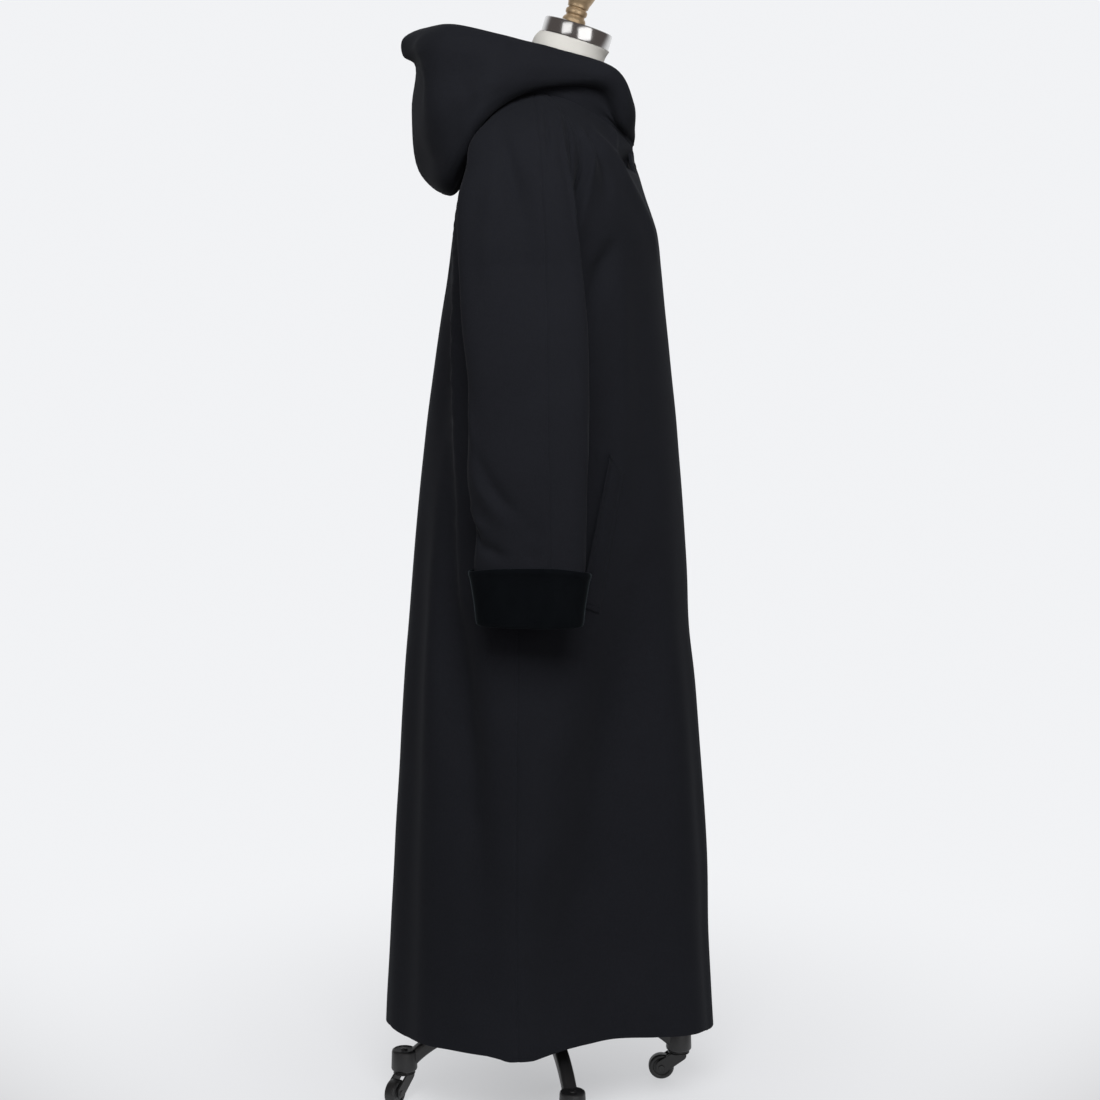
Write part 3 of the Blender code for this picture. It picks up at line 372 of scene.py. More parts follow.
hub_skin = lathe([(share * HUB_RADIUS, height) for share, height in HUB], HUB_SIDES)
make_piece("stand_hub", placed(hub_skin, spot=STAND_FOOT), coating, ROOT, ["hub"])
pole_skin = lathe([(POLE_RADIUS, POLE_FOOT), (POLE_RADIUS, POLE_TOP)], POLE_SIDES)
make_piece("stand_pole", placed(pole_skin, spot=STAND_FOOT), coating, ROOT, ["pole"])
leg_skin = ring_skin(leg_rings())
housing_skin = placed(lathe(HOUSING, HOUSING_SIDES), spot=(CASTER_RADIUS, 0.0, 0.0))
for leg in range(LEG_COUNT):
    number = str(leg + 1)
    turn = LEG_TURN + leg * math.pi / 2
    leg_placed = placed(leg_skin, turn, STAND_FOOT)
    make_piece("stand_leg_" + number, leg_placed, coating, ROOT, ["leg_" + number])
    make_piece("caster_housing_" + number, placed(housing_skin, turn, STAND_FOOT), coating, ROOT)

# Casters. Each has a swivel race under its housing, a forked yoke of black moulded plastic and a solid wheel
# on a black axle pin. The yoke turns about the stem and the wheel rolls between its cheeks.
RACE = [(0.0000, 0.0449), (0.0148, 0.0449), (0.0160, 0.0443), (0.0163, 0.0435), (0.0158, 0.0428),
        (0.0151, 0.0421), (0.0157, 0.0414), (0.0161, 0.0406), (0.0156, 0.0399), (0.0145, 0.0395),
        (0.0000, 0.0395)]
RACE_SIDES = 40
CASTER_TRAIL = 0.026
TRAIL_ANGLES = [math.radians(angle) for angle in (60.0, 152.0, 200.0, 90.0)]
WHEEL_RADIUS = 0.019
WHEEL_WIDTH = 0.016
WHEEL_SIDES = 56
AXLE_RADIUS = 0.0030
AXLE_SIDES = 28
# Half the axle pin: radius, and how far past the cheeks
AXLE_END = [(0.0, 0.0012), (0.0040, 0.0012), (0.0046, 0.0002), (AXLE_RADIUS, -0.0002)]
BORE_RADIUS = 0.0036
CHEEK_THICK = 0.0025
CHEEK_CLEARANCE = 0.0007
CHEEK_CORNER = 0.004
CORNER_SHARE = 0.45
CHEEK = [(-0.011, 0.0415), (0.012, 0.0415), (0.034, 0.0270), (0.034, 0.0125), (0.019, 0.0125),
         (-0.011, 0.0340)]
# Through a cheek from its inner face: place and inset
CHEEK_LAYERS = [(0.0, 0.0005), (0.0005, 0.0), (CHEEK_THICK - 0.0007, 0.0), (CHEEK_THICK, 0.0009)]
# Half the wheel: radius, and place across from its middle
TREAD = [(BORE_RADIUS, -0.0080), (0.0062, -0.0080), (0.0068, -0.0072), (0.0120, -0.0066), (0.0128, -0.0076),
         (0.0165, -0.0079), (0.0180, -0.0071), (0.0188, -0.0055), (WHEEL_RADIUS, -0.0030)]
PLASTIC_LOW = (0.006, 0.006, 0.0065)
PLASTIC_HIGH = (0.012, 0.012, 0.0125)

plastic, plastic_shader, plastic_place = new_finish("black_plastic", {"Specular IOR Level": 0.5})
plastic_cloud = plastic_place.noise(size=0.012, detail=4.0)
clouded(plastic_cloud, plastic_shader, PLASTIC_LOW, PLASTIC_HIGH, rough=0.34, rougher=0.24)
plastic_place.noise(size=0.0006).bump(strength=0.15, distance=0.0002).feeds(plastic_shader, "Normal")


def rounded_outline(corners, radius, steps=4):
    """A flat outline with each corner replaced by a short curve."""
    corners = np.array(corners)
    outline = []
    for before, corner, after in zip(np.roll(corners, 1, axis=0), corners, np.roll(corners, -1, axis=0)):
        start = corner + unit(before - corner) * min(radius, np.linalg.norm(before - corner) * CORNER_SHARE)
        end = corner + unit(after - corner) * min(radius, np.linalg.norm(after - corner) * CORNER_SHARE)
        handles = ((start + corner * 2) / 3, (end + corner * 2) / 3)
        outline.append(bezier(start, *handles, end, np.linspace(0, 1, steps)))
    return np.concatenate(outline)


def plate(outline, layers):
    """A skin over a flat outline in a caster's plane, in layers across it with their place and inset."""
    middle = outline.mean(axis=0)
    rings = []
    for across, inset in layers:
        shrunk = outline + unit(middle - outline) * inset
        rings.append(np.stack([shrunk[:, 0], np.full(len(outline), across), shrunk[:, 1]], axis=1))
    return ring_skin(rings)


def joined(skins):
    """Several closed skins as one."""
    points, faces, start = [], [], 0
    for skin_points, skin_faces in skins:
        points.append(skin_points)
        faces += [[start + corner for corner in face] for face in skin_faces]
        start += len(skin_points)
    return np.concatenate(points), faces


def turned_across(skin):
    """A turned skin, laid with its axis across a caster."""
    points, faces = skin
    return np.stack([points[:, 0], points[:, 2], -points[:, 1]], axis=1), faces


def both_halves(half):
    """A whole profile from the half of it below its middle."""
    return half + [(radius, -place) for radius, place in reversed(half)]


inside = WHEEL_WIDTH / 2 + CHEEK_CLEARANCE
outside = inside + CHEEK_THICK
cheek_outline = rounded_outline(CHEEK, CHEEK_CORNER)
yoke = [lathe(RACE, RACE_SIDES)]
for flip in (1, -1):
    yoke.append(plate(cheek_outline, [(flip * (inside + place), inset) for place, inset in CHEEK_LAYERS]))
yoke_skin = joined(yoke)
axle_spot = (CASTER_TRAIL, 0.0, WHEEL_RADIUS)
axle_half = [(radius, -outside - past) for radius, past in AXLE_END]
axle_skin = placed(turned_across(lathe(both_halves(axle_half), AXLE_SIDES)), spot=axle_spot)
wheel_rings = [circle(radius, place, WHEEL_SIDES) for radius, place in both_halves(TREAD)]
wheel_skin = placed(turned_across(ring_skin(wheel_rings, closed_section=True)), spot=axle_spot)
for leg, trail in enumerate(TRAIL_ANGLES):
    number = str(leg + 1)
    fork = "fork_" + number
    wheel = "wheel_" + number
    turn = LEG_TURN + leg * math.pi / 2
    reach = (CASTER_RADIUS * math.cos(turn), CASTER_RADIUS * math.sin(turn), 0.0)
    stem = np.array(STAND_FOOT) + np.array(reach)
    make_piece("caster_yoke_" + number, placed(yoke_skin, trail, stem), plastic, fork, [fork])
    make_piece("caster_axle_" + number, placed(axle_skin, trail, stem), coating, fork)
    wheel_placed = placed(wheel_skin, trail, stem)
    make_piece("caster_wheel_" + number, wheel_placed, plastic, wheel, [wheel], sharp=50.0)

# Dress form. A limbless torso with its neck, padded and covered in plain cream linen that is sewn up the
# middle of the front and the back. The coat rests on its shoulders.
TORSO_COLUMNS = "height half_width front back tilt squareness"
TORSO = [
    (0.780, 0.140, -0.090, 0.105, 0.0, 2.2),
    (0.800, 0.150, -0.102, 0.116, 0.0, 2.2),
    (0.900, 0.160, -0.112, 0.124, 0.0, 2.2),
    (1.020, 0.128, -0.100, 0.082, 0.0, 2.2),
    (1.120, 0.142, -0.115, 0.088, 0.0, 2.2),
    (1.230, 0.160, -0.130, 0.098, 0.0, 2.2),
    (1.310, 0.168, -0.108, 0.098, 0.0, 2.3),
    (1.360, 0.168, -0.076, 0.082, 0.0, 2.2),
    (1.392, 0.160, -0.046, 0.064, 0.0, 2.0),
    (1.418, 0.1422, -0.030, 0.056, 1.0, 1.8),
    (1.435, 0.086, -0.036, 0.050, 4.0, 1.8),
    (1.455, 0.060, -0.062, 0.042, 9.0, 2.0),
    (1.480, 0.053, -0.070, 0.032, 14.0, 2.0),
    (1.507, 0.0495, -0.0755, 0.0235, 17.0, 2.0),
    (1.5186, 0.0482, -0.0822, 0.0142, 17.0, 2.0),
]
TORSO_ROWS = 150
TORSO_SIDES = 120
LINEN_SEAM_DEEP = 0.0008
LINEN_SEAM_WIDE = 0.0022
THREAD_PITCH = 0.0008
THREADS = 2 * math.pi / THREAD_PITCH
# The warp is spaced round an axis this far forward, and true to the pitch at this radius
FORM_FORWARD = 0.03
FORM_RADIUS = 0.05
LINEN_LOW = (0.435, 0.425, 0.40)
LINEN_HIGH = (0.54, 0.53, 0.50)


def column_numbers(names, rows):
    """A table as one array of numbers for each named column."""
    return dict(zip(names.split(), np.array(rows, dtype=float).T))


def cubic(start, end, start_slope, end_slope, step):
    """A curve from one value to the next with a slope at each, at steps from 0 to 1."""
    rise = end - start
    bend = 3 * rise - 2 * start_slope - end_slope
    twist = start_slope + end_slope - 2 * rise
    return start + step * (start_slope + step * (bend + step * twist))


def smooth(values, place):
    """Values of a column at fractional row places, on a curve that passes through every row."""
    values = np.asarray(values, dtype=float)
    place = np.asarray(place, dtype=float)
    last = len(values) - 1
    row = np.clip(np.floor(place).astype(int), 0, last - 1)
    step = place - row
    before = values[np.maximum(row - 1, 0)]
    start = values[row]
    end = values[row + 1]
    after = values[np.minimum(row + 2, last)]
    start_slope = np.where(row == 0, end - start, (end - before) / 2)
    end_slope = np.where(row == last - 1, end - start, (after - start) / 2)
    return cubic(start, end, start_slope, end_slope, step)


def row_of(table, place):
    """Every column of a table at one row place."""
    return {name: float(smooth(values, place)) for name, values in table.items()}


def torso_rings():
    """Rings of the torso with a shallow seam up the middle of the front and the back."""
    table = column_numbers(TORSO_COLUMNS, TORSO)
    angles = 2 * math.pi * np.arange(TORSO_SIDES) / TORSO_SIDES
    rings = []
    for place in np.linspace(0, len(TORSO) - 1, TORSO_ROWS):
        row = row_of(table, place)
        power = 2 / row["squareness"]
        across = np.sign(np.cos(angles)) * np.abs(np.cos(angles)) ** power * row["half_width"]
        along = np.sign(np.sin(angles)) * np.abs(np.sin(angles)) ** power * (row["back"] - row["front"]) / 2
        sunk = 1 - LINEN_SEAM_DEEP / row["half_width"] * np.exp(-(across / LINEN_SEAM_WIDE) ** 2)
        middle = (row["front"] + row["back"]) / 2
        rise = along * math.tan(math.radians(row["tilt"]))
        rings.append(np.stack([across, middle + along * sunk, row["height"] + rise], axis=1))
    return rings


linen, linen_shader, linen_place = new_finish("cream_linen", {"Roughness": 0.9, "Sheen Weight": 0.15})
linen_turn = linen_place.maths("ARCTAN2", linen_place.part("X"), linen_place.part("Y") + FORM_FORWARD)
linen_weft = (linen_place.part("Z") * THREADS).sine()
linen_warp = (linen_turn * (THREADS * FORM_RADIUS)).sine()
linen_slub = linen_place.stretched(1.0, 1.0, 6.0).noise(size=0.004, detail=3.0)
linen_tone = linen_place.noise(size=0.05, detail=4.0)
(linen_tone * 0.6 + linen_slub * 0.4).blend(LINEN_LOW, LINEN_HIGH).feeds(linen_shader, "Base Color")
linen_threads = linen_weft.maths("MAXIMUM", linen_weft, linen_warp) * 0.3 + linen_slub
linen_threads.bump(strength=0.25, distance=0.0004).feeds(linen_shader, "Normal")
make_piece("form_torso", ring_skin(torso_rings()), linen, ROOT, ["torso"], sharp=60.0)

# Neck plate and knob. A bright plated band closes the form's neck, and a turned bronze-coloured knob is
# screwed into it. Both lean forward with the neck.
NECK_TILT = math.radians(17.0)
BAND_RADIUS = 0.0485
BAND_HEIGHT = 0.0215
BAND_FOOT = (0.0, -0.0341, 1.5189)
BAND = [(0.0, 0.0), (BAND_RADIUS - 0.0012, 0.0), (BAND_RADIUS - 0.0003, 0.0004), (BAND_RADIUS, 0.0013),
        (BAND_RADIUS, BAND_HEIGHT - 0.0022), (BAND_RADIUS - 0.0004, BAND_HEIGHT - 0.0009),
        (BAND_RADIUS - 0.0016, BAND_HEIGHT - 0.0001), (BAND_RADIUS - 0.0040, BAND_HEIGHT),
        (0.0, BAND_HEIGHT)]
KNOB_COLUMNS = "radius height"
KNOB = [(0.0150, 0.0000), (0.0162, 0.0010), (0.0164, 0.0050), (0.0150, 0.0080), (0.0132, 0.0100),
        (0.0132, 0.0118), (0.0148, 0.0134), (0.0153, 0.0165), (0.0147, 0.0192), (0.0130, 0.0206),
        (0.0130, 0.0218), (0.0145, 0.0232), (0.0152, 0.0275), (0.0178, 0.0340), (0.0202, 0.0430),
        (0.0196, 0.0530), (0.0145, 0.0620), (0.0070, 0.0680), (0.0000, 0.0700)]
BAND_SIDES = 96
KNOB_SHIFT = 0.009
KNOB_RISE = BAND_HEIGHT + 0.0003
KNOB_STEPS = 110
KNOB_SIDES = 64
CHROME_LOW = (0.62, 0.615, 0.61)
CHROME_HIGH = (0.72, 0.715, 0.71)
BRONZE_LOW = (0.35, 0.245, 0.143)
BRONZE_HIGH = (0.63, 0.475, 0.300)

chrome, chrome_shader, chrome_place = new_finish("bright_plating", {"Metallic": 1.0})
chrome_place.noise(size=0.02, detail=4.0).blend(CHROME_LOW, CHROME_HIGH).feeds(chrome_shader, "Base Color")
chrome_lines = chrome_place.stretched(1.0, 1.0, 12.0).noise(size=0.006, detail=5.0)
(0.10 + 0.12 * chrome_lines).feeds(chrome_shader, "Roughness")
band_skin = placed(lathe(BAND, BAND_SIDES), NECK_TILT, BAND_FOOT, "X")
make_piece("neck_plate", band_skin, chrome, ROOT, ["neck_band"])

bronze, bronze_shader, bronze_place = new_finish("satin_bronze", {"Metallic": 0.7})
bronze_cloud = bronze_place.noise(size=0.012, detail=5.0)
clouded(bronze_cloud, bronze_shader, BRONZE_LOW, BRONZE_HIGH, rough=0.27, rougher=0.20)
bronze_lines = bronze_place.stretched(1.0, 1.0, 9.0).noise(size=0.004, detail=3.0)
bronze_lines.bump(strength=0.12, distance=0.0003).feeds(bronze_shader, "Normal")
neck_lean = np.array(Matrix.Rotation(NECK_TILT, 3, "X"))
knob_foot = np.array(BAND_FOOT) + neck_lean[:, 2] * KNOB_RISE + neck_lean[:, 1] * KNOB_SHIFT
knob_places = np.linspace(0, len(KNOB) - 1, KNOB_STEPS)
knob_columns = [smooth(values, knob_places) for values in column_numbers(KNOB_COLUMNS, KNOB).values()]
knob_profile = np.maximum(np.stack(knob_columns, axis=1), 0.0)
knob_skin = placed(lathe([(0.0, 0.0), *knob_profile], KNOB_SIDES), NECK_TILT, knob_foot, "X")
make_piece("neck_knob", knob_skin, bronze, ROOT, ["finial"])

# Coat body. Two fronts and a one-piece back of heavy black fulled wool, cut with a flare, sewn at the sides
# and to the raglan sleeves. The right front laps over the left, and the hem and front edges are turned in.
WOOL_WALL = 0.0022
LAP = 0.022
LAP_STEP = 0.0031
LAP_EASE = 1.1
LAP_FADE = 0.30
LAP_SEARCH = np.linspace(0, 0.5, 101)
LAP_COLUMNS = 13
FRONT_MIDDLE = LAP_COLUMNS // 2
SKIRT_ROWS = 96
YOKE_ROWS = 64
FRONT_COLUMNS = 44
FRONT_WIDTH = 0.24
BACK_COLUMNS = 48
BACK_MIDDLE = BACK_COLUMNS - 1
BACK_WIDTH = 0.26
TURN_REACHES = (0.010, 0.022, 0.034, 0.045)
TURN_STEPS = 7
TURN_ROUND = 0.8
TURN_GAP = 2.05
EDGE_TURN = 0.0024
HEM_TURN = 0.0028
SEAM_DEEP = 0.0010
SEAM_WIDE = 0.0034
SEAM_SPOTS = (0.0, 0.0012, 0.0026, 0.0044)
SEAM_OPPOSED = 0.3
SIDE_SIGN = {"right": -1, "left": 1}
SKIRT = column_numbers("side_out side_y side_z front_y front_z back_y back_z "
                       "front_round side_round back_round", [
    (0.210, 0.044, 0.115, -0.2415, 0.100, 0.2415, 0.100, 0.36, 0.26, 0.50),
    (0.208, 0.046, 0.250, -0.2330, 0.240, 0.2335, 0.240, 0.38, 0.28, 0.50),
    (0.206, 0.046, 0.400, -0.2275, 0.390, 0.2250, 0.390, 0.42, 0.32, 0.50),
    (0.203, 0.045, 0.590, -0.2120, 0.590, 0.2120, 0.590, 0.46, 0.38, 0.52),
    (0.201, 0.043, 0.700, -0.1995, 0.700, 0.2030, 0.700, 0.50, 0.42, 0.53),
    (0.199, 0.041, 0.800, -0.1950, 0.800, 0.1950, 0.800, 0.53, 0.46, 0.54),
    (0.196, 0.037, 0.970, -0.1815, 0.970, 0.1770, 0.970, 0.55, 0.50, 0.55),
    (0.193, 0.033, 1.090, -0.1680, 1.090, 0.1600, 1.095, 0.55, 0.51, 0.55),
    (0.190, 0.030, 1.215, -0.1555, 1.215, 0.1415, 1.215, 0.55, 0.51, 0.55),
])
YOKE = column_numbers("front_out front_y front_z over_out over_y over_z rear_out rear_y rear_z "
                      "breast_y breast_z spine_y spine_z", [
    (0.190, 0.030, 1.215, 0.256, 0.006, 1.215, 0.190, 0.030, 1.215, -0.1555, 1.215, 0.1415, 1.215),
    (0.188, 0.014, 1.236, 0.254, 0.007, 1.250, 0.188, 0.046, 1.236, -0.1535, 1.236, 0.1360, 1.255),
    (0.185, -0.006, 1.262, 0.249, 0.009, 1.287, 0.185, 0.064, 1.262, -0.1500, 1.258, 0.1295, 1.293),
    (0.180, -0.024, 1.302, 0.240, 0.011, 1.322, 0.180, 0.082, 1.298, -0.1425, 1.281, 0.1220, 1.328),
    (0.171, -0.039, 1.347, 0.222, 0.013, 1.356, 0.170, 0.089, 1.332, -0.1345, 1.302, 0.1125, 1.362),
    (0.155, -0.034, 1.385, 0.192, 0.016, 1.390, 0.154, 0.081, 1.366, -0.1275, 1.323, 0.1010, 1.395),
    (0.126, -0.018, 1.418, 0.148, 0.019, 1.419, 0.122, 0.068, 1.406, -0.1215, 1.346, 0.0870, 1.425),
    (0.088, 0.002, 1.441, 0.091, 0.022, 1.444, 0.074, 0.055, 1.447, -0.1170, 1.367, 0.0700, 1.453),
])
# How far the handles of a section's curve stand from its ends
FRONT_HANDLES = column_numbers("breast_out breast_z front_out front_y front_z", [
    (0.105, 0.000, 0.000, -0.095, 0.000),
    (0.102, 0.000, -0.004, -0.085, 0.000),
    (0.098, 0.000, -0.008, -0.072, -0.002),
    (0.092, 0.002, -0.016, -0.058, -0.005),
    (0.082, 0.004, -0.026, -0.046, -0.010),
    (0.066, 0.005, -0.022, -0.044, -0.018),
    (0.050, 0.006, -0.012, -0.045, -0.024),
    (0.035, 0.014, -0.002, -0.050, -0.004),
])
BACK_HANDLES = column_numbers("spine_out rear_out rear_y rear_z", [
    (0.105, 0.000, 0.062, 0.000),
    (0.100, -0.004, 0.056, 0.003),
    (0.095, -0.010, 0.044, 0.006),
    (0.090, -0.024, 0.032, 0.008),
    (0.080, -0.042, 0.020, 0.010),
    (0.068, -0.050, 0.012, 0.010),
    (0.050, -0.040, 0.010, 0.006),
    (0.030, -0.026, 0.010, 0.003),
])
# Large folds: place round the ring (0 front middle, 1 side seam, 2 back middle) and depth along the normal
FOLD_COLUMNS = "place_top place_hem top full depth half_width"
FOLDS = {
    "right": [
        (0.34, 0.27, 1.05, 0.35, 0.012, 0.16),
        (0.62, 0.55, 0.86, 0.20, -0.024, 0.24),
        (0.80, 0.80, 1.20, 0.95, -0.006, 0.16),
        (1.60, 1.46, 1.29, 0.80, 0.004, 0.13),
        (1.76, 1.66, 1.27, 0.60, -0.006, 0.15),
    ],
    "left": [
        (0.36, 0.30, 1.00, 0.30, 0.009, 0.17),
        (0.60, 0.52, 0.90, 0.25, -0.020, 0.22),
        (0.80, 0.78, 1.20, 0.95, -0.005, 0.16),
        (1.54, 1.40, 1.25, 0.70, 0.005, 0.14),
        (1.72, 1.62, 1.22, 0.60, -0.006, 0.16),
    ],
}
# How far the hem is drawn up round the ring, fading out upwards
HEM = column_numbers("place lift", [
    (0.00, 0.0000), (0.10, 0.0010), (0.22, 0.0095), (0.30, 0.0118), (0.43, 0.0122), (0.56, 0.0157),
    (0.70, 0.0180), (0.76, 0.0165), (0.83, 0.0118), (0.91, 0.0070), (1.05, 0.0062), (1.09, 0.0105),
    (1.15, 0.0139), (1.29, 0.0160), (1.49, 0.0180), (1.60, 0.0150), (1.69, 0.0135), (1.82, 0.0170),
    (1.90, 0.0135), (1.95, 0.0102), (2.00, 0.0092),
])
HEM_FADE = 0.30
# Creases: depth and half width in metres, then a path of ring places and heights
BODY_CREASES = {
    "right": [
        (0.0095, 0.013, ((1.81, 1.294), (1.60, 1.166), (1.480, 1.034), (1.405, 0.902), (1.365, 0.800),
                         (1.350, 0.740))),
        (-0.0200, 0.030, ((1.90, 1.200), (1.68, 1.080), (1.53, 0.930), (1.43, 0.760), (1.345, 0.640),
                          (1.28, 0.530), (1.215, 0.388), (1.17, 0.204))),
        (0.0024, 0.006, ((1.30, 1.170), (1.34, 1.080), (1.36, 1.000))),
        (-0.0260, 0.042, ((0.47, 0.780), (0.54, 0.640), (0.59, 0.520), (0.65, 0.410), (0.70, 0.290),
                          (0.72, 0.160))),
        (0.0120, 0.034, ((0.78, 0.700), (0.82, 0.560), (0.87, 0.450), (0.92, 0.350))),
        (-0.0090, 0.013, ((0.58, 1.250), (0.65, 1.196), (0.72, 1.146), (0.78, 1.080))),
        (0.0034, 0.013, ((0.49, 1.240), (0.51, 1.196), (0.53, 1.084), (0.56, 0.963), (0.56, 0.880))),
        (-0.0034, 0.020, ((0.38, 1.200), (0.42, 1.060), (0.45, 0.860))),
        (0.0066, 0.013, ((0.80, 1.406), (0.73, 1.384), (0.592, 1.359), (0.541, 1.339), (0.447, 1.317),
                         (0.331, 1.293), (0.25, 1.270), (0.19, 1.225))),
        (0.0046, 0.008, ((0.45, 1.398), (0.44, 1.387), (0.50, 1.368), (0.53, 1.352))),
        (-0.0080, 0.014, ((0.85, 1.394), (0.78, 1.370), (0.74, 1.340), (0.68, 1.300))),
        (0.0084, 0.012, ((0.925, 1.400), (0.900, 1.378), (0.893, 1.357), (0.885, 1.335), (0.865, 1.300),
                         (0.84, 1.250))),
        (-0.0064, 0.009, ((0.95, 1.380), (0.945, 1.345), (0.94, 1.310), (0.92, 1.250))),
        (-0.0140, 0.011, ((0.03, 1.352), (0.10, 1.352), (0.22, 1.353), (0.38, 1.356), (0.50, 1.360))),
    ],
    "left": [
        (0.0070, 0.014, ((1.78, 1.280), (1.60, 1.150), (1.49, 1.020), (1.42, 0.880), (1.36, 0.700),
                         (1.31, 0.580))),
        (-0.0110, 0.027, ((1.88, 1.180), (1.68, 1.060), (1.54, 0.910), (1.46, 0.740), (1.38, 0.560),
                          (1.22, 0.400), (1.12, 0.220))),
        (-0.0110, 0.033, ((0.50, 0.700), (0.59, 0.560), (0.68, 0.440), (0.77, 0.320), (0.84, 0.160))),
        (-0.0084, 0.014, ((0.58, 1.250), (0.65, 1.196), (0.72, 1.140), (0.77, 1.070))),
        (0.0032, 0.014, ((0.47, 1.220), (0.50, 1.080), (0.53, 0.880))),
        (0.0042, 0.010, ((0.46, 1.380), (0.55, 1.338), (0.39, 1.305), (0.25, 1.275), (0.20, 1.230))),
        (0.0034, 0.010, ((0.79, 1.405), (0.75, 1.375), (0.70, 1.335))),
        (0.0050, 0.011, ((0.89, 1.385), (0.88, 1.340), (0.85, 1.260))),
        (-0.0060, 0.009, ((0.95, 1.385), (0.945, 1.340), (0.92, 1.260))),
    ],
}
CREASE_STEPS = np.linspace(0, 1, 49)
CREASE_ENDS = (0.04, 0.96)
CREASE_FADE = 0.7
CREASE_UNEVEN = 0.25
CREASE_WAVES = 9
CREASE_PHASE = 900
SWELL = 0.0006
SWELL_SIZE = 0.055
WOOL_LOW = (0.0062, 0.0066, 0.0083)
WOOL_HIGH = (0.0122, 0.0130, 0.0163)
UNDERARM = len(SKIRT["side_z"]) - 1
NECK_LEVEL = UNDERARM + len(YOKE["over_z"]) - 1
YOKE_LEVELS = np.linspace(UNDERARM, NECK_LEVEL, YOKE_ROWS)[1:]
BODY_LEVELS = np.concatenate([np.linspace(0, UNDERARM, SKIRT_ROWS), YOKE_LEVELS])
RING_WIDTH = 0.26


def ease(value):
    """Rises smoothly from 0 to 1 and stays there."""
    value = np.clip(value, 0, 1)
    return value * value * (3 - 2 * value)


def on_side(points, side):
    """Points given by their out, put on one side of the middle plane."""
    return points * np.array((SIDE_SIGN[side], 1, 1))


def spot_of(row, name):
    """A named point of a table's row. What the row doesn't give is 0, so it may lie on the middle plane."""
    return np.array([row.get(name + axis, 0.0) for axis in ("_out", "_y", "_z")])


def yoke_curve(level, start, end, handles, places):
    """Points of a section above the underarm, between two seams that the yoke's table names."""
    row = row_of(YOKE, level - UNDERARM)
    handle = row_of(handles, level - UNDERARM)
    first = spot_of(row, start)
    last = spot_of(row, end)
    return bezier(first, first + spot_of(handle, start), last + spot_of(handle, end), last, places)


def front_section(level, places):
    """Points of the plain front from the front middle (0) to the side or raglan seam (1)."""
    if level > UNDERARM:
        return yoke_curve(level, "breast", "front", FRONT_HANDLES, places)
    row = row_of(SKIRT, level)
    middle = spot_of(row, "front")
    seam = spot_of(row, "side")
    middle_handle = middle + np.array((row["front_round"] * row["side_out"], 0, 0))
    seam_handle = seam - np.array((0, row["side_round"] * (row["side_y"] - row["front_y"]), 0))
    return bezier(middle, middle_handle, seam_handle, seam, places)


def back_section(level, places):
    """Points of the plain back from the side or raglan seam (0) to the back middle (1)."""
    if level > UNDERARM:
        return yoke_curve(level, "rear", "spine", BACK_HANDLES, places)
    row = row_of(SKIRT, level)
    seam = spot_of(row, "side")
    middle = spot_of(row, "back")
    seam_handle = seam + np.array((0, row["back_round"] * (row["back_y"] - row["side_y"]), 0))
    middle_handle = middle + np.array((row["back_round"] * row["side_out"], 0, 0))
    return bezier(seam, seam_handle, middle_handle, middle, places)


def folded(points, side, ring_places):
    """A section with its large folds, moved along the level outward normal."""
    depth = np.zeros(len(points))
    hem = SKIRT["front_z"][0]
    for numbers in FOLDS[side]:
        fold = dict(zip(FOLD_COLUMNS.split(), numbers))
        down = np.clip((fold["top"] - points[:, 2]) / (fold["top"] - hem), 0, 1)
        middle = fold["place_top"] + (fold["place_hem"] - fold["place_top"]) * down
        growth = ease((fold["top"] - points[:, 2]) / (fold["top"] - fold["full"]))
        across = np.clip((ring_places - middle) / fold["half_width"], -1, 1)
        depth += fold["depth"] * growth * np.cos(across * math.pi / 2) ** 2
    along = np.gradient(points, axis=0)
    normal = unit(np.stack([along[:, 1], -along[:, 0], np.zeros(len(points))], axis=1))
    drawn = points + normal * depth[:, None]
    lift = np.interp(ring_places, HEM["place"], HEM["lift"])
    drawn[:, 2] += lift * (1 - ease((points[:, 2] - hem) / HEM_FADE))
    return drawn


def seam_spaced(count, width, first=True, last=True):
    """Places from 0 to 1, close together at the edges that are sewn."""
    spots = np.array(SEAM_SPOTS) / width
    low = spots if first else np.array([0.0])
    high = 1 - spots[::-1] if last else np.array([1.0])
    middle = np.linspace(low[-1], high[0], count - len(low) - len(high) + 2)[1:-1]
    return np.concatenate([low, middle, high])


def lap_place(level):
    """Where the front section reaches the lap's width."""
    return float(np.interp(LAP, front_section(level, LAP_SEARCH)[:, 0], LAP_SEARCH))


def front_places(level):
    """Column places of a front, from the lap's edge past the middle to the side seam."""
    lap = lap_place(level)
    rest = lap + (1 - lap) * seam_spaced(FRONT_COLUMNS, FRONT_WIDTH, first=False)[1:]
    return np.concatenate([np.linspace(-lap, lap, LAP_COLUMNS), rest])


def grid_normals(grid, side):
    """Outward normals of a grid whose columns go round from the front."""
    return unit(np.cross(np.gradient(grid, axis=1), np.gradient(grid, axis=0))) * SIDE_SIGN[side]


def edge_spots(grid):
    """Row and column of every point on a grid's edge."""
    rows, columns = grid.shape[:2]
    return [(row, column) for row in range(rows) for column in range(columns)
            if row in (0, rows - 1) or column in (0, columns - 1)]


def spot_key(point):
    """A point as whole hundredths of a millimetre, to find the same point on two panels."""
    return tuple(int(round(value * 1e5)) for value in point)


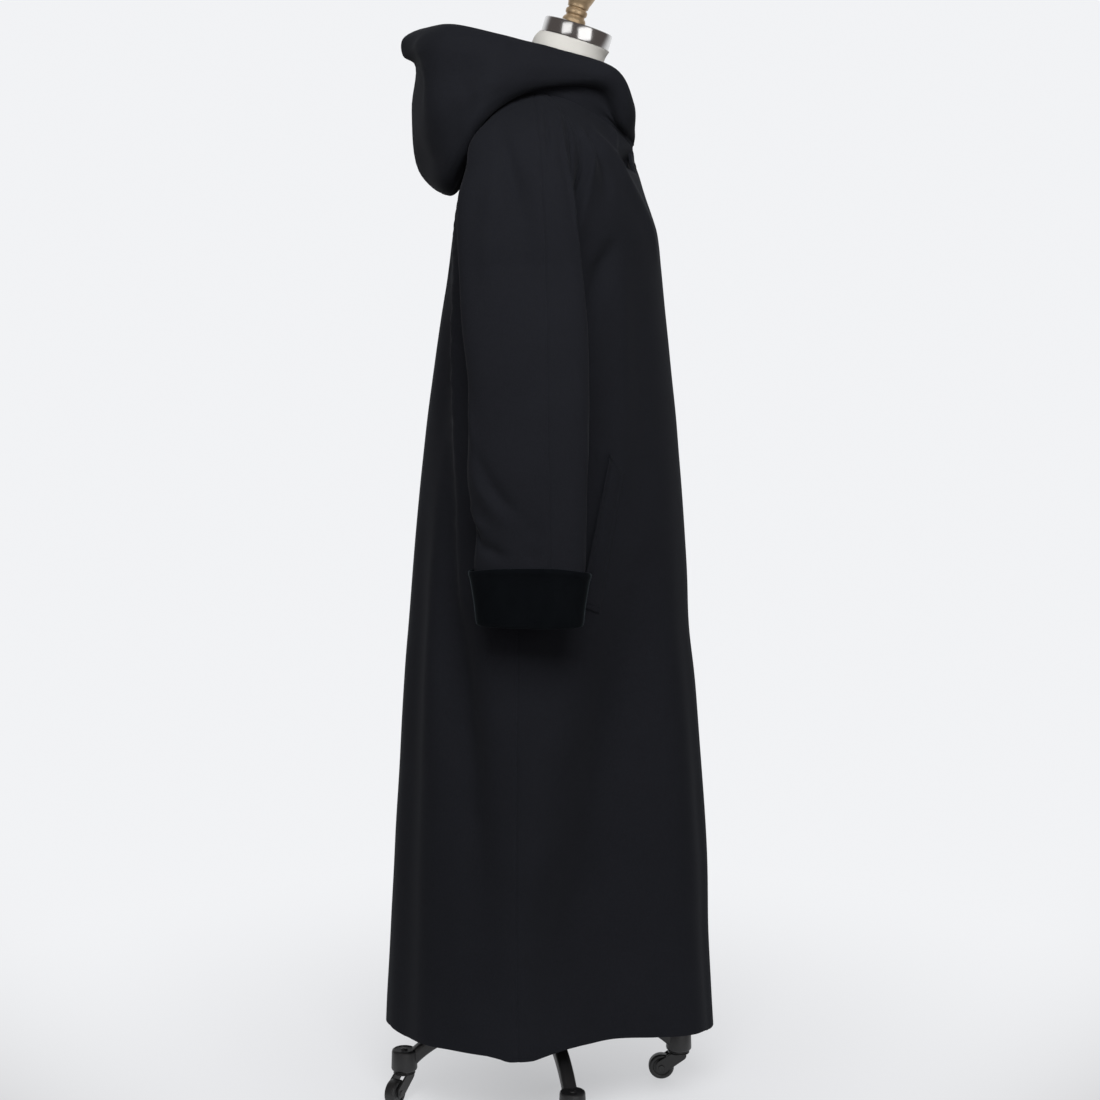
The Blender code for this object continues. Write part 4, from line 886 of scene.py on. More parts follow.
def share_seams(panels):
    """Gives panels the same normal wherever they are sewn together, unless the normals nearly cancel."""
    meeting = {}
    for grid, normals in panels.values():
        for row, column in edge_spots(grid):
            meeting.setdefault(spot_key(grid[row, column]), []).append(normals[row, column])
    for grid, normals in panels.values():
        for row, column in edge_spots(grid):
            together = np.sum(meeting[spot_key(grid[row, column])], axis=0)
            if np.linalg.norm(together) > SEAM_OPPOSED:
                normals[row, column] = unit(together)


def wander(points):
    """The slow uneven swell of cloth, between -1 and 1."""
    x, y, z = (points[..., axis] / SWELL_SIZE for axis in range(3))
    return (np.sin(1.7 * x + 2.3 * np.sin(0.9 * z + y)) + np.sin(1.9 * y + 1.7 * np.sin(1.3 * z + 0.7 * x))
            + np.sin(1.1 * z + 2.1 * np.sin(x + 0.8 * y))) / 3


def crease_depth(rows, distance_from, *cloth_map):
    """How far creases push the cloth out: soft across, uneven along and faded at the ends."""
    start, end = CREASE_ENDS
    pushed = 0.0
    for depth, half_width, path in rows:
        knots = np.linspace(0, 1, len(path))
        walk = [np.interp(CREASE_STEPS, knots, values) for values in zip(*path)]
        distance = distance_from(walk, *cloth_map)
        nearest = CREASE_STEPS[np.argmin(distance, axis=-1)]
        fade = np.sin(math.pi * (start + (end - start) * nearest)) ** CREASE_FADE
        uneven = 1 + CREASE_UNEVEN * np.sin(CREASE_WAVES * nearest + CREASE_PHASE * half_width)
        pushed = pushed + depth * fade * uneven * np.exp(-(distance.min(axis=-1) / half_width) ** 2)
    return pushed


def ring_distance(walk, places, heights):
    """Distances from the steps of a crease's path, given by ring place and height."""
    return np.hypot((places[..., None] - walk[0]) * RING_WIDTH, heights[..., None] - walk[1])


def walked(points, axis=0):
    """Distances along the lines of a grid, or along one line of points, from the start."""
    steps = np.linalg.norm(np.diff(points, axis=axis), axis=-1)
    start = np.zeros_like(np.take(steps, [0], axis=axis))
    return np.concatenate([start, np.cumsum(steps, axis=axis)], axis=axis)


def point_along(place, places, points):
    """The point of a line at a place, between its points at the given places."""
    return np.array([np.interp(place, places, points[:, axis]) for axis in range(3)])


def seam_groove(grid, sewn):
    """How far the cloth sinks beside its sewn edges, named first, last, bottom and top."""
    across = walked(grid, 1)
    up = walked(grid, 0)
    distances = {"first": across, "last": across[:, -1:] - across, "bottom": up, "top": up[-1:] - up}
    nearest = np.min([distances[edge] for edge in sewn], axis=0)
    return -SEAM_DEEP * (1 - ease(nearest / SEAM_WIDE))


def turned_in(grid, normals, edge, thick):
    """A grid and its normals with the cloth turned in at one edge, round it and back along the inside."""
    if edge == "first":
        swapped = turned_in(grid.transpose(1, 0, 2), normals.transpose(1, 0, 2), "hem", thick)
        return [table.transpose(1, 0, 2) for table in swapped]
    inward = unit(grid[1] - grid[0])
    turned = []
    for angle in np.linspace(math.pi, 0, TURN_STEPS)[1:]:
        sunk = thick * (math.cos(angle) + 1)
        turned.append(grid[0] - normals[0] * sunk - inward * thick * math.sin(angle) * TURN_ROUND)
    walk = walked(grid)
    inner = grid - normals * thick * TURN_GAP
    for reach in TURN_REACHES:
        turned.append([point_along(reach, walk[:, line], inner[:, line]) for line in range(grid.shape[1])])
    turned = np.array(turned[::-1])
    turned_normals = np.repeat(normals[:1], len(turned), axis=0)
    return np.concatenate([turned, grid]), np.concatenate([turned_normals, normals])


def cut_of(grid):
    """Width, length and area of the flat cut that a grid of cloth is made from."""
    width = float(walked(grid, 1)[:, -1].max())
    length = float(walked(grid, 0)[-1].max())
    across = grid[:-1, 1:] - grid[:-1, :-1]
    up = grid[1:, :-1] - grid[:-1, :-1]
    return width, length, float(np.linalg.norm(np.cross(across, up), axis=2).sum())


def make_cloth(node, grid, side):
    """One panel of wool as a thin shell on its grid, with the cloth's own directions as a map in metres."""
    rows, columns = grid.shape[:2]
    faces = []
    for row in range(rows - 1):
        for column in range(columns - 1):
            first = row * columns + column
            face = [first, first + 1, first + columns + 1, first + columns]
            faces.append(face[::-1] if side == "right" else face)
    name = "coat_" + node
    mesh = bpy.data.meshes.new(name)
    mesh.from_pydata(grid.reshape(-1, 3).tolist(), [], faces)
    spots = np.stack([walked(grid, 1), walked(grid, 0)], axis=2).reshape(-1, 2)
    corners = np.zeros(len(mesh.loops), dtype=np.int32)
    mesh.loops.foreach_get("vertex_index", corners)
    mesh.uv_layers.new(name="cloth").data.foreach_set("uv", spots[corners].ravel().astype(np.float32))
    rim = {row * columns + column for row, column in edge_spots(grid)}
    for edge in mesh.edges:
        edge.use_edge_sharp = rim.issuperset(edge.vertices)
    piece = add_piece(name, mesh, wool, ROOT, [node])
    shell = piece.modifiers.new("wall", "SOLIDIFY")
    shell.thickness = WOOL_WALL
    shell.offset = -1.0
    width, length, area = cut_of(grid)


wool, wool_shader, wool_place = new_finish("black_wool", {
    "Roughness": 1.0, "Specular IOR Level": 0.06, "Sheen Weight": 0.02, "Sheen Roughness": 0.5,
    "Sheen Tint": (0.62, 0.66, 0.75, 1.0)})
wool_nap = wool_place.stretched(1.0, 1.0, 0.45).noise(size=0.0012, detail=4.0)
wool_fuzz = wool_place.noise(size=0.0032, detail=3.0)
wool_cloud = wool_place.noise(size=0.06, detail=3.0)
wool_tone = wool_nap * 0.5 + wool_fuzz * 0.3 + wool_cloud * 0.25
wool_tone.blend(WOOL_LOW, WOOL_HIGH).feeds(wool_shader, "Base Color")
(wool_nap + wool_fuzz * 0.6).bump(strength=0.35, distance=0.0005).feeds(wool_shader, "Normal")


def front_grid(side):
    """Outer points of a front with its ring places."""
    grid, rings = [], []
    for level in BODY_LEVELS:
        places = front_places(level)
        points = folded(front_section(level, np.abs(places)), side, np.abs(places))
        points[places < 0, 0] *= -1
        points[np.abs(places) < 1e-9, 0] = 0
        grid.append(on_side(points, side))
        rings.append(np.abs(places))
    return np.array(grid), np.array(rings)


def back_grid():
    """Outer points of the back from the right side seam to the left one, with its ring places."""
    places = seam_spaced(BACK_COLUMNS, BACK_WIDTH, last=False)
    grid = []
    for level in BODY_LEVELS:
        plain = back_section(level, places)
        right = on_side(folded(plain, "right", 1 + places), "right")
        left = on_side(folded(plain, "left", 1 + places), "left")
        left[-1] = right[-1]
        grid.append(np.concatenate([right, left[-2::-1]]))
    ring = np.concatenate([1 + places, 1 + places[-2::-1]])
    return np.array(grid), np.tile(ring, (len(BODY_LEVELS), 1))


# Raglan sleeves. Each is cut in a front and a back half that are sewn along the top of the arm and the inner
# arm, and run up between the fronts and the back to the neckline.
SLEEVE_COLUMNS = 40
SLEEVE_WIDTH = 0.15
CUFF_TOP = 0.812
CUFF_FADE = 0.03
# How far a curve bulges out at its middle, as a share of its handles' reach
BULGE_SHARE = 0.75
SLEEVE_HANDLES = column_numbers("front_out front_y front_z over_front over_back rear_out rear_y rear_z", [
    (0.026, -0.0767, 0.000, 0.0767, 0.1347, 0.026, 0.1347, 0.000),
    (0.026, -0.0620, -0.002, 0.0660, 0.1300, 0.026, 0.1190, -0.002),
    (0.030, -0.0420, -0.004, 0.0550, 0.1220, 0.028, 0.0980, 0.000),
    (0.034, -0.0120, -0.002, 0.0490, 0.1100, 0.030, 0.0727, 0.000),
    (0.026, 0.0100, 0.004, 0.0340, 0.0900, 0.028, 0.0480, 0.004),
    (0.017, 0.0140, 0.004, 0.0280, 0.0900, 0.022, 0.0460, 0.006),
    (0.010, 0.0100, 0.003, 0.0160, 0.0520, 0.012, 0.0200, 0.006),
    (0.002, 0.0060, 0.001, 0.0070, 0.0130, 0.008, -0.0100, -0.001),
])
SLEEVE = column_numbers("height under_out over_out front_y back_y over_y under_y under_lean", [
    (0.752, 0.228, 0.284, -0.0375, 0.0920, 0.000, 0.028, 0.000),
    (0.820, 0.226, 0.286, -0.0447, 0.0985, 0.000, 0.029, 0.000),
    (0.864, 0.225, 0.288, -0.0460, 0.0958, 0.000, 0.030, 0.000),
    (0.897, 0.224, 0.290, -0.0472, 0.1009, 0.001, 0.031, 0.000),
    (0.937, 0.223, 0.290, -0.0485, 0.1072, 0.001, 0.032, 0.000),
    (0.980, 0.222, 0.288, -0.0500, 0.1060, 0.002, 0.033, 0.000),
    (1.050, 0.220, 0.283, -0.0497, 0.1045, 0.003, 0.033, 0.000),
    (1.140, 0.211, 0.271, -0.0470, 0.1140, 0.004, 0.032, 0.008),
    (1.215, 0.190, 0.256, -0.0395, 0.1190, 0.006, 0.030, 0.026),
])
# Places here go round the sleeve: 0 inner seam, 0.5 front fold, 1 top seam, 1.5 back fold, 2 inner seam
SLEEVE_CREASES = {
    "right": [
        (0.0050, 0.010, ((0.34, 1.430), (0.24, 1.416), (0.42, 1.400), (0.53, 1.377), (0.58, 1.330),
                         (0.61, 1.293), (0.64, 1.248), (0.62, 1.180))),
        (-0.0086, 0.010, ((0.10, 1.405), (0.20, 1.385), (0.30, 1.360), (0.36, 1.330), (0.38, 1.290),
                          (0.34, 1.220))),
        (-0.0036, 0.010, ((0.74, 1.415), (0.84, 1.388), (0.87, 1.350))),
        (-0.0080, 0.011, ((1.26, 1.395), (1.20, 1.378), (1.172, 1.350), (1.115, 1.317), (1.09, 1.290),
                          (1.07, 1.250), (1.06, 1.200))),
        (0.0038, 0.014, ((1.22, 1.330), (1.24, 1.270), (1.22, 1.190))),
        (-0.0050, 0.009, ((1.40, 0.975), (1.30, 0.945), (1.22, 0.914), (1.13, 0.889))),
        (0.0034, 0.010, ((1.46, 0.955), (1.34, 0.918), (1.20, 0.880))),
        (-0.0052, 0.008, ((1.54, 0.868), (1.43, 0.850), (1.31, 0.844), (1.20, 0.833))),
        (0.0042, 0.009, ((1.56, 0.900), (1.46, 0.882), (1.34, 0.868))),
        (0.0030, 0.012, ((1.56, 1.060), (1.46, 1.000), (1.36, 0.960))),
        (-0.0026, 0.016, ((0.62, 1.020), (0.58, 0.940), (0.54, 0.860))),
        (-0.0034, 0.008, ((1.055, 0.885), (1.075, 0.850), (1.07, 0.815))),
    ],
    "left": [
        (0.0036, 0.010, ((0.34, 1.425), (0.42, 1.400), (0.53, 1.375), (0.58, 1.325), (0.61, 1.250),
                         (0.60, 1.180))),
        (-0.0068, 0.011, ((0.10, 1.400), (0.22, 1.380), (0.32, 1.350), (0.38, 1.290), (0.34, 1.220))),
        (-0.0050, 0.013, ((1.32, 1.395), (1.18, 1.345), (1.12, 1.260), (1.07, 1.190))),
        (-0.0050, 0.010, ((1.42, 0.985), (1.28, 0.940), (1.14, 0.900))),
        (0.0034, 0.011, ((1.48, 0.960), (1.34, 0.920), (1.20, 0.888))),
        (-0.0050, 0.009, ((1.52, 0.878), (1.38, 0.858), (1.22, 0.840))),
        (0.0040, 0.009, ((1.55, 0.905), (1.44, 0.886), (1.32, 0.872))),
        (-0.0026, 0.016, ((0.60, 1.040), (0.56, 0.940), (0.54, 0.870))),
    ],
}
SLEEVE_HALVES = {
    "front": {**SLEEVE_HANDLES, "over_y": -SLEEVE_HANDLES["over_front"]},
    "back": {**SLEEVE_HANDLES, "over_y": SLEEVE_HANDLES["over_back"]},
}


def sleeve_section(level, places, half):
    """Points of one half of a sleeve: front from the inner seam to the top seam, back the other way."""
    if level > UNDERARM:
        start, end = ("front", "over") if half == "front" else ("over", "rear")
        return yoke_curve(level, start, end, SLEEVE_HALVES[half], places)
    row = row_of(SLEEVE, level)
    under = np.array((row["under_out"], row["under_y"], row["height"]))
    over = np.array((row["over_out"], row["over_y"], row["height"]))
    bulge = row[half + "_y"] - (row["under_y"] + row["over_y"]) / 2
    reach = np.array((0, bulge / BULGE_SHARE, 0))
    under_handle = under + reach + np.array((row["under_lean"], 0, 0))
    if half == "front":
        return bezier(under, under_handle, over + reach, over, places)
    return bezier(over, over + reach, under_handle, under, places)


def sleeve_grid(side, half):
    """Outer points of one half of a sleeve, with its places round the sleeve (0 inner seam, 1 top seam)."""
    places = seam_spaced(SLEEVE_COLUMNS, SLEEVE_WIDTH)
    grid = np.array([on_side(sleeve_section(level, places, half), side) for level in BODY_LEVELS])
    return grid, np.tile(places if half == "front" else 1 + places, (len(BODY_LEVELS), 1))


def dressed(grid, normals, ring, creases, sewn, fade):
    """A panel with its creases, its uneven swell and the grooves of its seams."""
    depth = (crease_depth(creases, ring_distance, ring, grid[..., 2]) + SWELL * wander(grid)) * fade
    return grid + normals * (depth + seam_groove(grid, sewn))[..., None]


panels = {}
rings = {}
for side in SIDE_SIGN:
    panels["front_" + side], rings["front_" + side] = front_grid(side)
    for half in ("front", "back"):
        name = "sleeve_" + half + "_" + side
        panels[name], rings[name] = sleeve_grid(side, half)
panels["back"], rings["back"] = back_grid()
panel_sides = {name: "left" if name.endswith("left") else "right" for name in panels}
panels = {name: (grid, grid_normals(grid, panel_sides[name])) for name, grid in panels.items()}
share_seams(panels)
cloth = {}
for side in SIDE_SIGN:
    name = "front_" + side
    grid, normals = panels[name]
    cloth[name] = dressed(grid, normals, rings[name], BODY_CREASES[side], ("last", "top"), 1.0)
    if side == "left":
        laps = np.array([lap_place(level) for level in BODY_LEVELS])[:, None]
        under = 1 - ease((rings[name] - laps * LAP_EASE) / LAP_FADE)
        cloth[name] -= normals * (LAP_STEP * under)[..., None]
    edged = turned_in(cloth[name], normals, "first", EDGE_TURN)
    hemmed, _ = turned_in(*edged, "hem", HEM_TURN)
    make_cloth(name, hemmed, side)
back_points, back_normals = panels["back"]
back_depth = SWELL * wander(back_points) + seam_groove(back_points, ("first", "last", "top"))
for side, half in (("right", slice(0, BACK_MIDDLE)), ("left", slice(BACK_MIDDLE, None))):
    heights = back_points[:, half, 2]
    back_depth[:, half] += crease_depth(BODY_CREASES[side], ring_distance, rings["back"][:, half], heights)
cloth["back"] = back_points + back_normals * back_depth[..., None]
hemmed, _ = turned_in(cloth["back"], back_normals, "hem", HEM_TURN)
make_cloth("back", hemmed, "right")
for side in SIDE_SIGN:
    for half in ("front", "back"):
        name = "sleeve_" + half + "_" + side
        grid, normals = panels[name]
        fade = ease((grid[..., 2] - CUFF_TOP) / CUFF_FADE)
        sewn = ("first", "last", "top")
        cloth[name] = dressed(grid, normals, rings[name], SLEEVE_CREASES[side], sewn, fade)
        make_cloth(name, cloth[name], side)

# Hood. Two halves of the same wool, seamed up the middle of the back and sewn to the neckline, lie folded
# down round the neck: a stand, a fold outward, a full pouch behind and a soft rolled rim.
HOOD_COLUMNS = 71
HOOD_ROWS = 71
HOOD_WIDTH = 0.42
HOOD_STAND = 0.006
HOOD_PLAIN_ROWS = 6
NECK_TUCK = 0.006
# Each row has its place along the neckline, then a point on each line from slope to edge. The neckline and
# the stand above it come from the coat.
HOOD_LINES = ("neckline", "stand", "slope", "under", "fold", "rise", "knee", "ledge", "lobe", "crown", "rim",
              "edge")
HOOD = [
    (0.015, (0.005, -0.1168, 1.3765), (0.006, -0.1170, 1.3790), (0.008, -0.1175, 1.3820),
     (0.010, -0.1180, 1.3855), (0.011, -0.1182, 1.3895), (0.011, -0.1181, 1.3930),
     (0.0108, -0.1178, 1.3955), (0.0103, -0.1172, 1.3978), (0.0097, -0.1164, 1.3995),
     (0.009, -0.1155, 1.4010)),
    (0.185, (0.0475, -0.0900, 1.4030), (0.0490, -0.0925, 1.4035), (0.0520, -0.0950, 1.4010),
     (0.0575, -0.1005, 1.4020), (0.060, -0.1070, 1.4105), (0.058, -0.1125, 1.4190),
     (0.053, -0.1150, 1.4270), (0.047, -0.1150, 1.4330), (0.041, -0.1125, 1.4360),
     (0.034, -0.1060, 1.4345)),
    (0.42, (0.072, -0.0520, 1.4405), (0.070, -0.0590, 1.4480), (0.071, -0.0660, 1.4480),
     (0.078, -0.0720, 1.4490), (0.086, -0.0785, 1.4545), (0.088, -0.0850, 1.4630),
     (0.084, -0.0885, 1.4710), (0.077, -0.0885, 1.4770), (0.068, -0.0845, 1.4790),
     (0.058, -0.0740, 1.4725)),
    (0.64, (0.088, 0.0080, 1.4500), (0.089, 0.0010, 1.4550), (0.095, -0.0070, 1.4520),
     (0.105, -0.0095, 1.4525), (0.112, -0.0110, 1.4590), (0.113, -0.0115, 1.4690),
     (0.109, -0.0105, 1.4830), (0.101, -0.0085, 1.4965), (0.091, -0.0050, 1.5030),
     (0.078, 0.0020, 1.4905)),
    (0.70, (0.092, 0.0430, 1.4530), (0.106, 0.0450, 1.4490), (0.124, 0.0470, 1.4345),
     (0.137, 0.0480, 1.4395), (0.1415, 0.0460, 1.4520), (0.138, 0.0435, 1.4690), (0.130, 0.0400, 1.4890),
     (0.119, 0.0365, 1.5050), (0.107, 0.0340, 1.5115), (0.090, 0.0320, 1.4950)),
    (0.78, (0.090, 0.0700, 1.4400), (0.118, 0.0810, 1.4220), (0.144, 0.0920, 1.3960),
     (0.158, 0.1020, 1.4060), (0.159, 0.0985, 1.4350), (0.153, 0.0910, 1.4690), (0.143, 0.0825, 1.4970),
     (0.130, 0.0750, 1.5135), (0.115, 0.0670, 1.5195), (0.096, 0.0600, 1.4980)),
    (0.88, (0.054, 0.0920, 1.4180), (0.072, 0.1200, 1.3480), (0.080, 0.1315, 1.3150),
     (0.113, 0.1460, 1.3300), (0.124, 0.1640, 1.4200), (0.122, 0.1630, 1.4780), (0.117, 0.1600, 1.5080),
     (0.108, 0.1460, 1.5270), (0.094, 0.1260, 1.5340), (0.074, 0.1060, 1.5060)),
    (1.00, (0.000, 0.1090, 1.3920), (0.000, 0.1340, 1.3150), (0.000, 0.1520, 1.3100),
     (0.000, 0.1835, 1.3400), (0.000, 0.1932, 1.4250), (0.000, 0.1885, 1.4870), (0.000, 0.2050, 1.4980),
     (0.000, 0.2055, 1.5225), (0.000, 0.1620, 1.5375), (0.000, 0.1200, 1.5100)),
]
# Creases: depth, half width and a path. Stations count the rows of the table from the front edge, and lines
# the names from the neckline.
HOOD_CREASES = [
    (0.0040, 0.014, ((6.45, 8.6), (6.25, 7.6), (6.1, 6.6), (6.0, 6.1))),
    (-0.0085, 0.026, ((4.8, 7.4), (5.3, 6.9), (5.9, 6.5), (6.5, 6.3))),
    (0.0030, 0.015, ((3.4, 8.0), (4.2, 7.0), (5.0, 6.2), (5.6, 5.9))),
    (-0.0026, 0.012, ((2.2, 7.0), (2.8, 6.4), (3.6, 6.0))),
    (-0.0075, 0.019, ((4.5, 6.1), (5.0, 5.8), (5.6, 5.5), (6.2, 5.35), (6.6, 5.3))),
    (0.0040, 0.011, ((4.3, 4.7), (5.0, 4.65), (5.6, 4.6), (6.1, 4.5))),
]
HOOD_STATIONS = (len(HOOD) - 1) * seam_spaced(HOOD_COLUMNS, HOOD_WIDTH, first=False)
HOOD_SPOTS = np.linspace(0, len(HOOD_LINES) - 1, HOOD_ROWS)


def through(points, places):
    """Points of a curve through a list of points, at places counted in points, with little overshoot."""
    points = np.asarray(points, dtype=float)
    places = np.asarray(places, dtype=float)
    knots = np.concatenate([[0], np.cumsum(np.sqrt(np.linalg.norm(np.diff(points, axis=0), axis=1)))])
    slopes = np.gradient(points, knots, axis=0)
    row = np.clip(np.floor(places).astype(int), 0, len(points) - 2)
    step = (places - row)[:, None]
    width = (knots[row + 1] - knots[row])[:, None]
    return cubic(points[row], points[row + 1], slopes[row] * width, slopes[row + 1] * width, step)


def neckline(side):
    """The neckline's points from the front middle to the back middle."""
    back = cloth["back"][-1]
    half_back = back[:BACK_MIDDLE + 1] if side == "right" else back[:BACK_MIDDLE - 1:-1]
    sleeves = [cloth["sleeve_" + half + "_" + side][-1, 1:] for half in ("front", "back")]
    return np.concatenate([cloth["front_" + side][-1, FRONT_MIDDLE:], *sleeves, half_back[1:]])


def hood_grid(side):
    """Outer points of half the hood: each section runs from the neckline round the fold to the edge."""
    points = neckline(side)
    lengths = walked(points)
    neck_places = smooth([row[0] for row in HOOD], HOOD_STATIONS) * lengths[-1]
    lines = np.array([row[1:] for row in HOOD])
    columns = []
    for station, neck_place in zip(HOOD_STATIONS, neck_places):
        foot = point_along(neck_place, lengths, points)
        stand = foot + np.array((0, 0, HOOD_STAND))
        section = np.concatenate([[foot, stand], on_side(smooth(lines, station), side)])
        columns.append(through(section, HOOD_SPOTS))
    grid = np.array(columns).transpose(1, 0, 2)
    grid[:, -1, 0] = 0
    return grid


def hood_distance(walk, grid):
    """Distances over the hood's cloth from the steps of a crease's path, given by station and line."""
    columns = np.rint(np.interp(walk[0], HOOD_STATIONS, np.arange(HOOD_COLUMNS))).astype(int)
    lines = np.rint(np.interp(walk[1], HOOD_SPOTS, np.arange(HOOD_ROWS))).astype(int)
    return np.linalg.norm(grid[:, :, None] - grid[lines, columns], axis=3)


hoods = {}
for side in SIDE_SIGN:
    grid = hood_grid(side)
    hoods["hood_" + side] = (grid, grid_normals(grid, side))
share_seams(hoods)
for side in SIDE_SIGN:
    name = "hood_" + side
    grid, normals = hoods[name]
    depth = crease_depth(HOOD_CREASES, hood_distance, grid) + SWELL * wander(grid)
    depth = depth * ease(np.arange(HOOD_ROWS) / HOOD_PLAIN_ROWS)[:, None] + seam_groove(grid, ("last",))
    tuck = grid[0] - normals[0] * NECK_TUCK / 2 - np.array((0, 0, NECK_TUCK))
    hood = np.concatenate([tuck[None], grid + normals * depth[..., None]])
    make_cloth(name, hood, side)

# Cuffs. Bands of black cotton velvet, turned back over the sleeve ends and caught down at the seams, so that
# they stand a little off the sleeve with thick rounded edges.
CUFF_COLUMNS = 60
CUFF_STEPS = 64
GIRTH_HEIGHT = 0.780
RIM_START = 0.76
RIM_FADE = 0.05
CUFF = [
    (-0.0025, 0.7515), (-0.0023, 0.7460), (0.0000, 0.7428), (0.0036, 0.7430), (0.0054, 0.7480),
    (0.0056, 0.7750), (0.0070, 0.8060), (0.0084, 0.8125), (0.0072, 0.8172), (0.0046, 0.8165),
    (0.0036, 0.8080), (0.0020, 0.7750), (0.0010, 0.7530), (0.0006, 0.7515),
]
# The rim's height round the sleeve, beginning at the inner seam and going by the front
CUFF_RIM = [-0.001, -0.004, -0.006, 0.000, 0.006, 0.004, -0.002, -0.002, -0.001]
VELVET_LOW = (0.0016, 0.0020, 0.0026)
VELVET_HIGH = (0.0034, 0.0042, 0.0052)

velvet, velvet_shader, velvet_place = new_finish("black_velvet", {
    "Roughness": 1.0, "Specular IOR Level": 0.05, "Sheen Weight": 0.14, "Sheen Roughness": 0.28,
    "Sheen Tint": (0.42, 0.55, 0.62, 1.0)})
velvet_pile = velvet_place.noise(size=0.0011, detail=3.0)
velvet_cloud = velvet_place.stretched(1.0, 1.0, 0.5).noise(size=0.016, detail=3.0)
(velvet_cloud * 0.7 + velvet_pile * 0.3).blend(VELVET_LOW, VELVET_HIGH).feeds(velvet_shader, "Base Color")
(velvet_pile + velvet_cloud).bump(strength=0.3, distance=0.0006).feeds(velvet_shader, "Normal")


def sleeve_ring(height):
    """Closed outline of a sleeve at a height below the underarm, with its level outward normals."""
    level = float(np.interp(height, SLEEVE["height"], np.arange(len(SLEEVE["height"]))))
    places = np.linspace(0, 1, CUFF_COLUMNS + 1)[:-1]
    ring = np.concatenate([sleeve_section(level, places, half) for half in ("front", "back")])
    ring[:, 2] = height
    along = np.roll(ring, -1, axis=0) - np.roll(ring, 1, axis=0)
    return ring, unit(np.stack([along[:, 1], -along[:, 0], np.zeros(len(ring))], axis=1))


def cuff_rings(side):
    """Closed rings of a cuff, from its inner edge round the fold and the rim back to the start."""
    section = through(CUFF + CUFF[:1], np.linspace(0, len(CUFF), CUFF_STEPS + 1)[:-1])
    lift = smooth(CUFF_RIM, np.linspace(0, len(CUFF_RIM) - 1, 2 * CUFF_COLUMNS + 1)[:-1])
    cuff = []
    for step, height in section:
        ring, normal = sleeve_ring(max(height, SLEEVE["height"][0]))
        ring[:, 2] = height + lift * ease((height - RIM_START) / RIM_FADE)
        cuff.append(on_side(ring + normal * step, side))
    return cuff


for side in SIDE_SIGN:
    cuff_skin = ring_skin(cuff_rings(side), closed_section=True)
    cuff = make_piece("coat_cuff_" + side, cuff_skin, velvet, ROOT, ["cuff_" + side], sharp=70.0)
    ring, _ = sleeve_ring(GIRTH_HEIGHT)
    reach = float(walked(np.array(CUFF + CUFF[:1]))[-1]) / 2
    "coat_sleeve_front_" + side

# Pocket welts. A folded strip of the same wool stands over each slanted hip pocket, sewn down with a row of
# stitches along both long edges and a row across each end.
WELT_TOP = {"y": -0.0896, "z": 0.9488, "width": 0.0225, "slant": 1.2}
WELT_BOTTOM = {"y": -0.0533, "z": 0.7487, "width": 0.0290, "slant": 0.5}
WELT_THICK = 0.0072
WELT_ROWS = 40
WELT_END = np.linspace(0, 0.06, 25)
# The ends: their lowest height and how steeply they round up, then a row of stitches by its place and width
WELT_LOW = 0.45
WELT_ROUND = 90
WELT_STITCH = 0.22
WELT_STITCH_PLACE = 0.034
WELT_STITCH_WIDE = 0.006
TRIM_CLEARANCE = 0.0006
# Across the welt from its sewn front edge to its open back edge: place and height
WELT_PROFILE = [(-1.00, 0.02), (-0.98, 0.12), (-0.92, 0.22), (-0.82, 0.28), (-0.70, 0.31), (-0.62, 0.25),
                (-0.54, 0.33), (-0.20, 0.42), (0.20, 0.50), (0.48, 0.57), (0.58, 0.51), (0.66, 0.66),
                (0.84, 0.88), (0.95, 1.00), (1.00, 0.98), (1.02, 0.90), (0.98, 0.82), (0.80, 0.60),
                (0.50, 0.36), (0.30, 0.04)]


def on_front(side, y, z):
    """The dressed front's point and normal at a given y and height."""
    grid = cloth["front_" + side][:, FRONT_MIDDLE + 1:]
    normals = panels["front_" + side][1][:, FRONT_MIDDLE + 1:]
    columns = np.arange(grid.shape[1])
    spots = np.array([np.interp(y, line[:, 1], columns) for line in grid])
    heights = np.array([np.interp(spot, columns, line[:, 2]) for spot, line in zip(spots, grid)])
    row_place = float(np.interp(z, heights, np.arange(len(grid))))
    row = min(int(row_place), len(grid) - 2)
    found = []
    for table in (grid, normals):
        low, high = (point_along(spots[line], columns, table[line]) for line in (row, row + 1))
        found.append(low + (high - low) * (row_place - row))
    return found[0], unit(found[1])


def welt_spot(side, step, across):
    """A point and normal of the front under a welt, by the place along it and across it."""
    row = {name: top + (WELT_BOTTOM[name] - top) * step for name, top in WELT_TOP.items()}
    aside = across * row["width"] / 2
    return on_front(side, row["y"] + aside, row["z"] + aside * row["slant"])


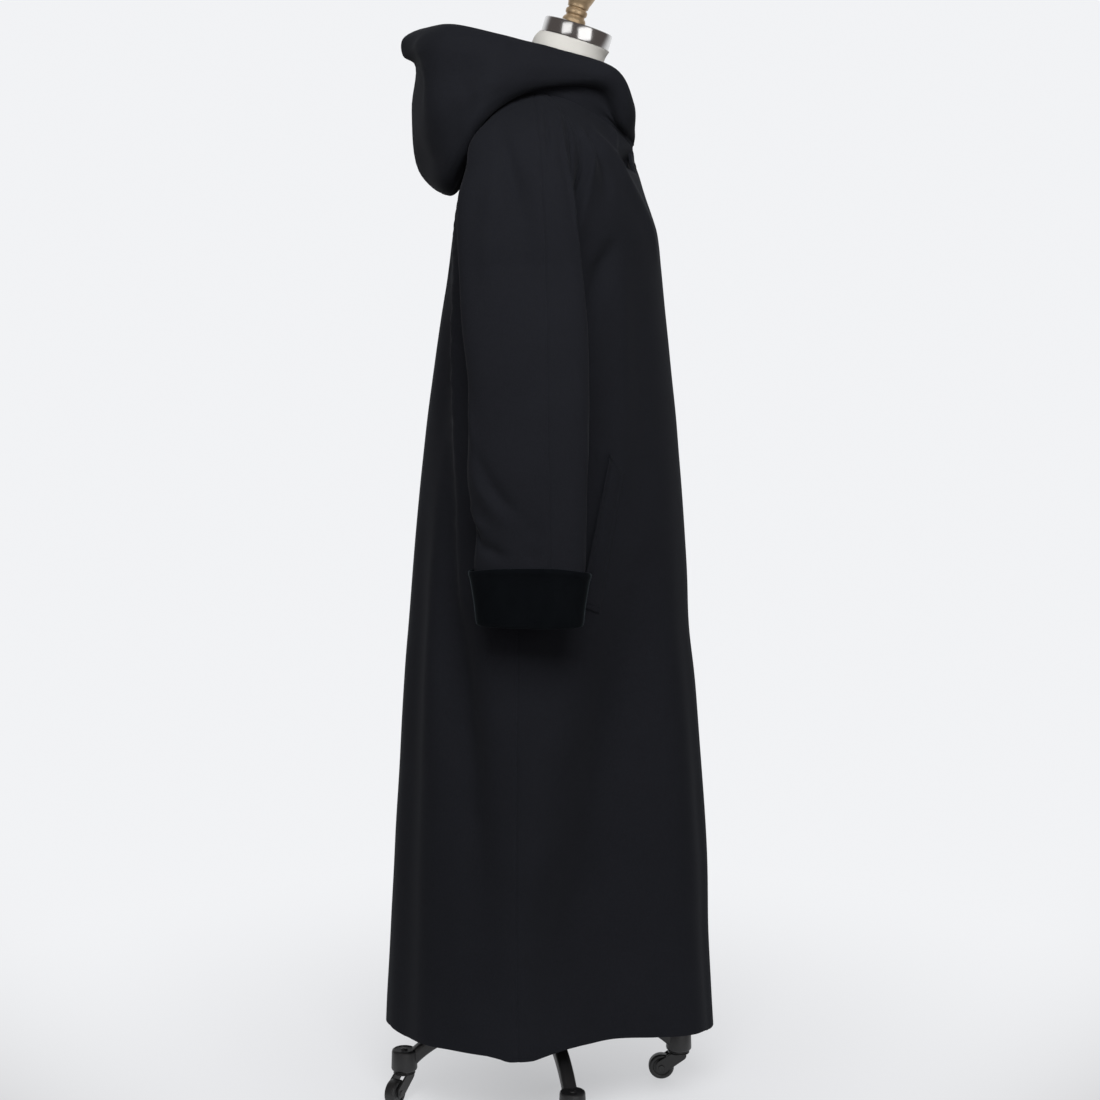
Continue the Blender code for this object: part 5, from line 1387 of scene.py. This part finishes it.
welt_middle = np.linspace(WELT_END[-1], 1 - WELT_END[-1], WELT_ROWS)[1:-1]
welt_steps = np.concatenate([WELT_END, welt_middle, 1 - WELT_END[::-1]])
for side in SIDE_SIGN:
    welt_rings = []
    for step in welt_steps:
        from_end = min(step, 1 - step)
        rounded = math.sqrt(1 - (1 - min(1.0, WELT_ROUND * from_end)) ** 2)
        tall = WELT_LOW + (1 - WELT_LOW) * rounded
        tall -= WELT_STITCH * math.exp(-((from_end - WELT_STITCH_PLACE) / WELT_STITCH_WIDE) ** 2)
        ring = []
        for across, up in WELT_PROFILE:
            point, normal = welt_spot(side, step, across)
            ring.append(point + normal * (TRIM_CLEARANCE + WELT_THICK * up * tall))
        welt_rings.append(ring)
    welt_skin = ring_skin(welt_rings)
    welt = make_piece("coat_welt_" + side, welt_skin, wool, ROOT, ["welt_" + side], sharp=60.0)
    "coat_front_" + side

# Neck button. One round button of black cast resin with a raised rim, sewn on near the top of the right
# front's edge, where the cloth is drawn into a hollow round it.
BUTTON_TURN = math.radians(32.0)
BUTTON_THICK = 0.0045
BUTTON_SUNK = 0.0100
BUTTON_ASIDE = -0.011
BUTTON_SIDES = 48
RESIN_LOW = (0.006, 0.006, 0.007)
RESIN_HIGH = (0.012, 0.012, 0.013)
BUTTON_RIM = [(0.0, 0.0), (0.0078, 0.0), (0.0092, 0.0006), (0.0099, 0.0016), (0.0100, 0.0026),
              (0.0096, 0.0037), (0.0088, 0.0043), (0.0078, 0.0044), (0.0068, 0.0040), (0.0060, 0.0034),
              (0.0052, 0.0031), (0.0, 0.0031)]

resin, resin_shader, resin_place = new_finish("black_resin", {"Specular IOR Level": 0.12})
resin_cloud = resin_place.noise(size=0.004, detail=3.0)
clouded(resin_cloud, resin_shader, RESIN_LOW, RESIN_HIGH, rough=0.45, rougher=0.2)
button_middle = np.mean([list(corner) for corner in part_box("button")], axis=0)
front_points, front_normals = panels["front_right"]
button_row = int(np.argmin(np.abs(front_points[:, FRONT_MIDDLE, 2] - button_middle[2])))
button_normal = front_normals[button_row, FRONT_MIDDLE]
button_slope = math.atan2(-button_normal[1], button_normal[2])
button_foot = button_middle - button_normal * (BUTTON_THICK / 2 + BUTTON_SUNK)
button_foot[0] += BUTTON_ASIDE
button_turn = np.array(Matrix.Rotation(-BUTTON_TURN, 3, "Z") @ Matrix.Rotation(button_slope, 3, "X"))
button_points, button_faces = lathe(BUTTON_RIM, BUTTON_SIDES)
button_skin = (button_points @ button_turn.T + button_foot, button_faces)
make_piece("coat_button", button_skin, resin, ROOT, ["button"])
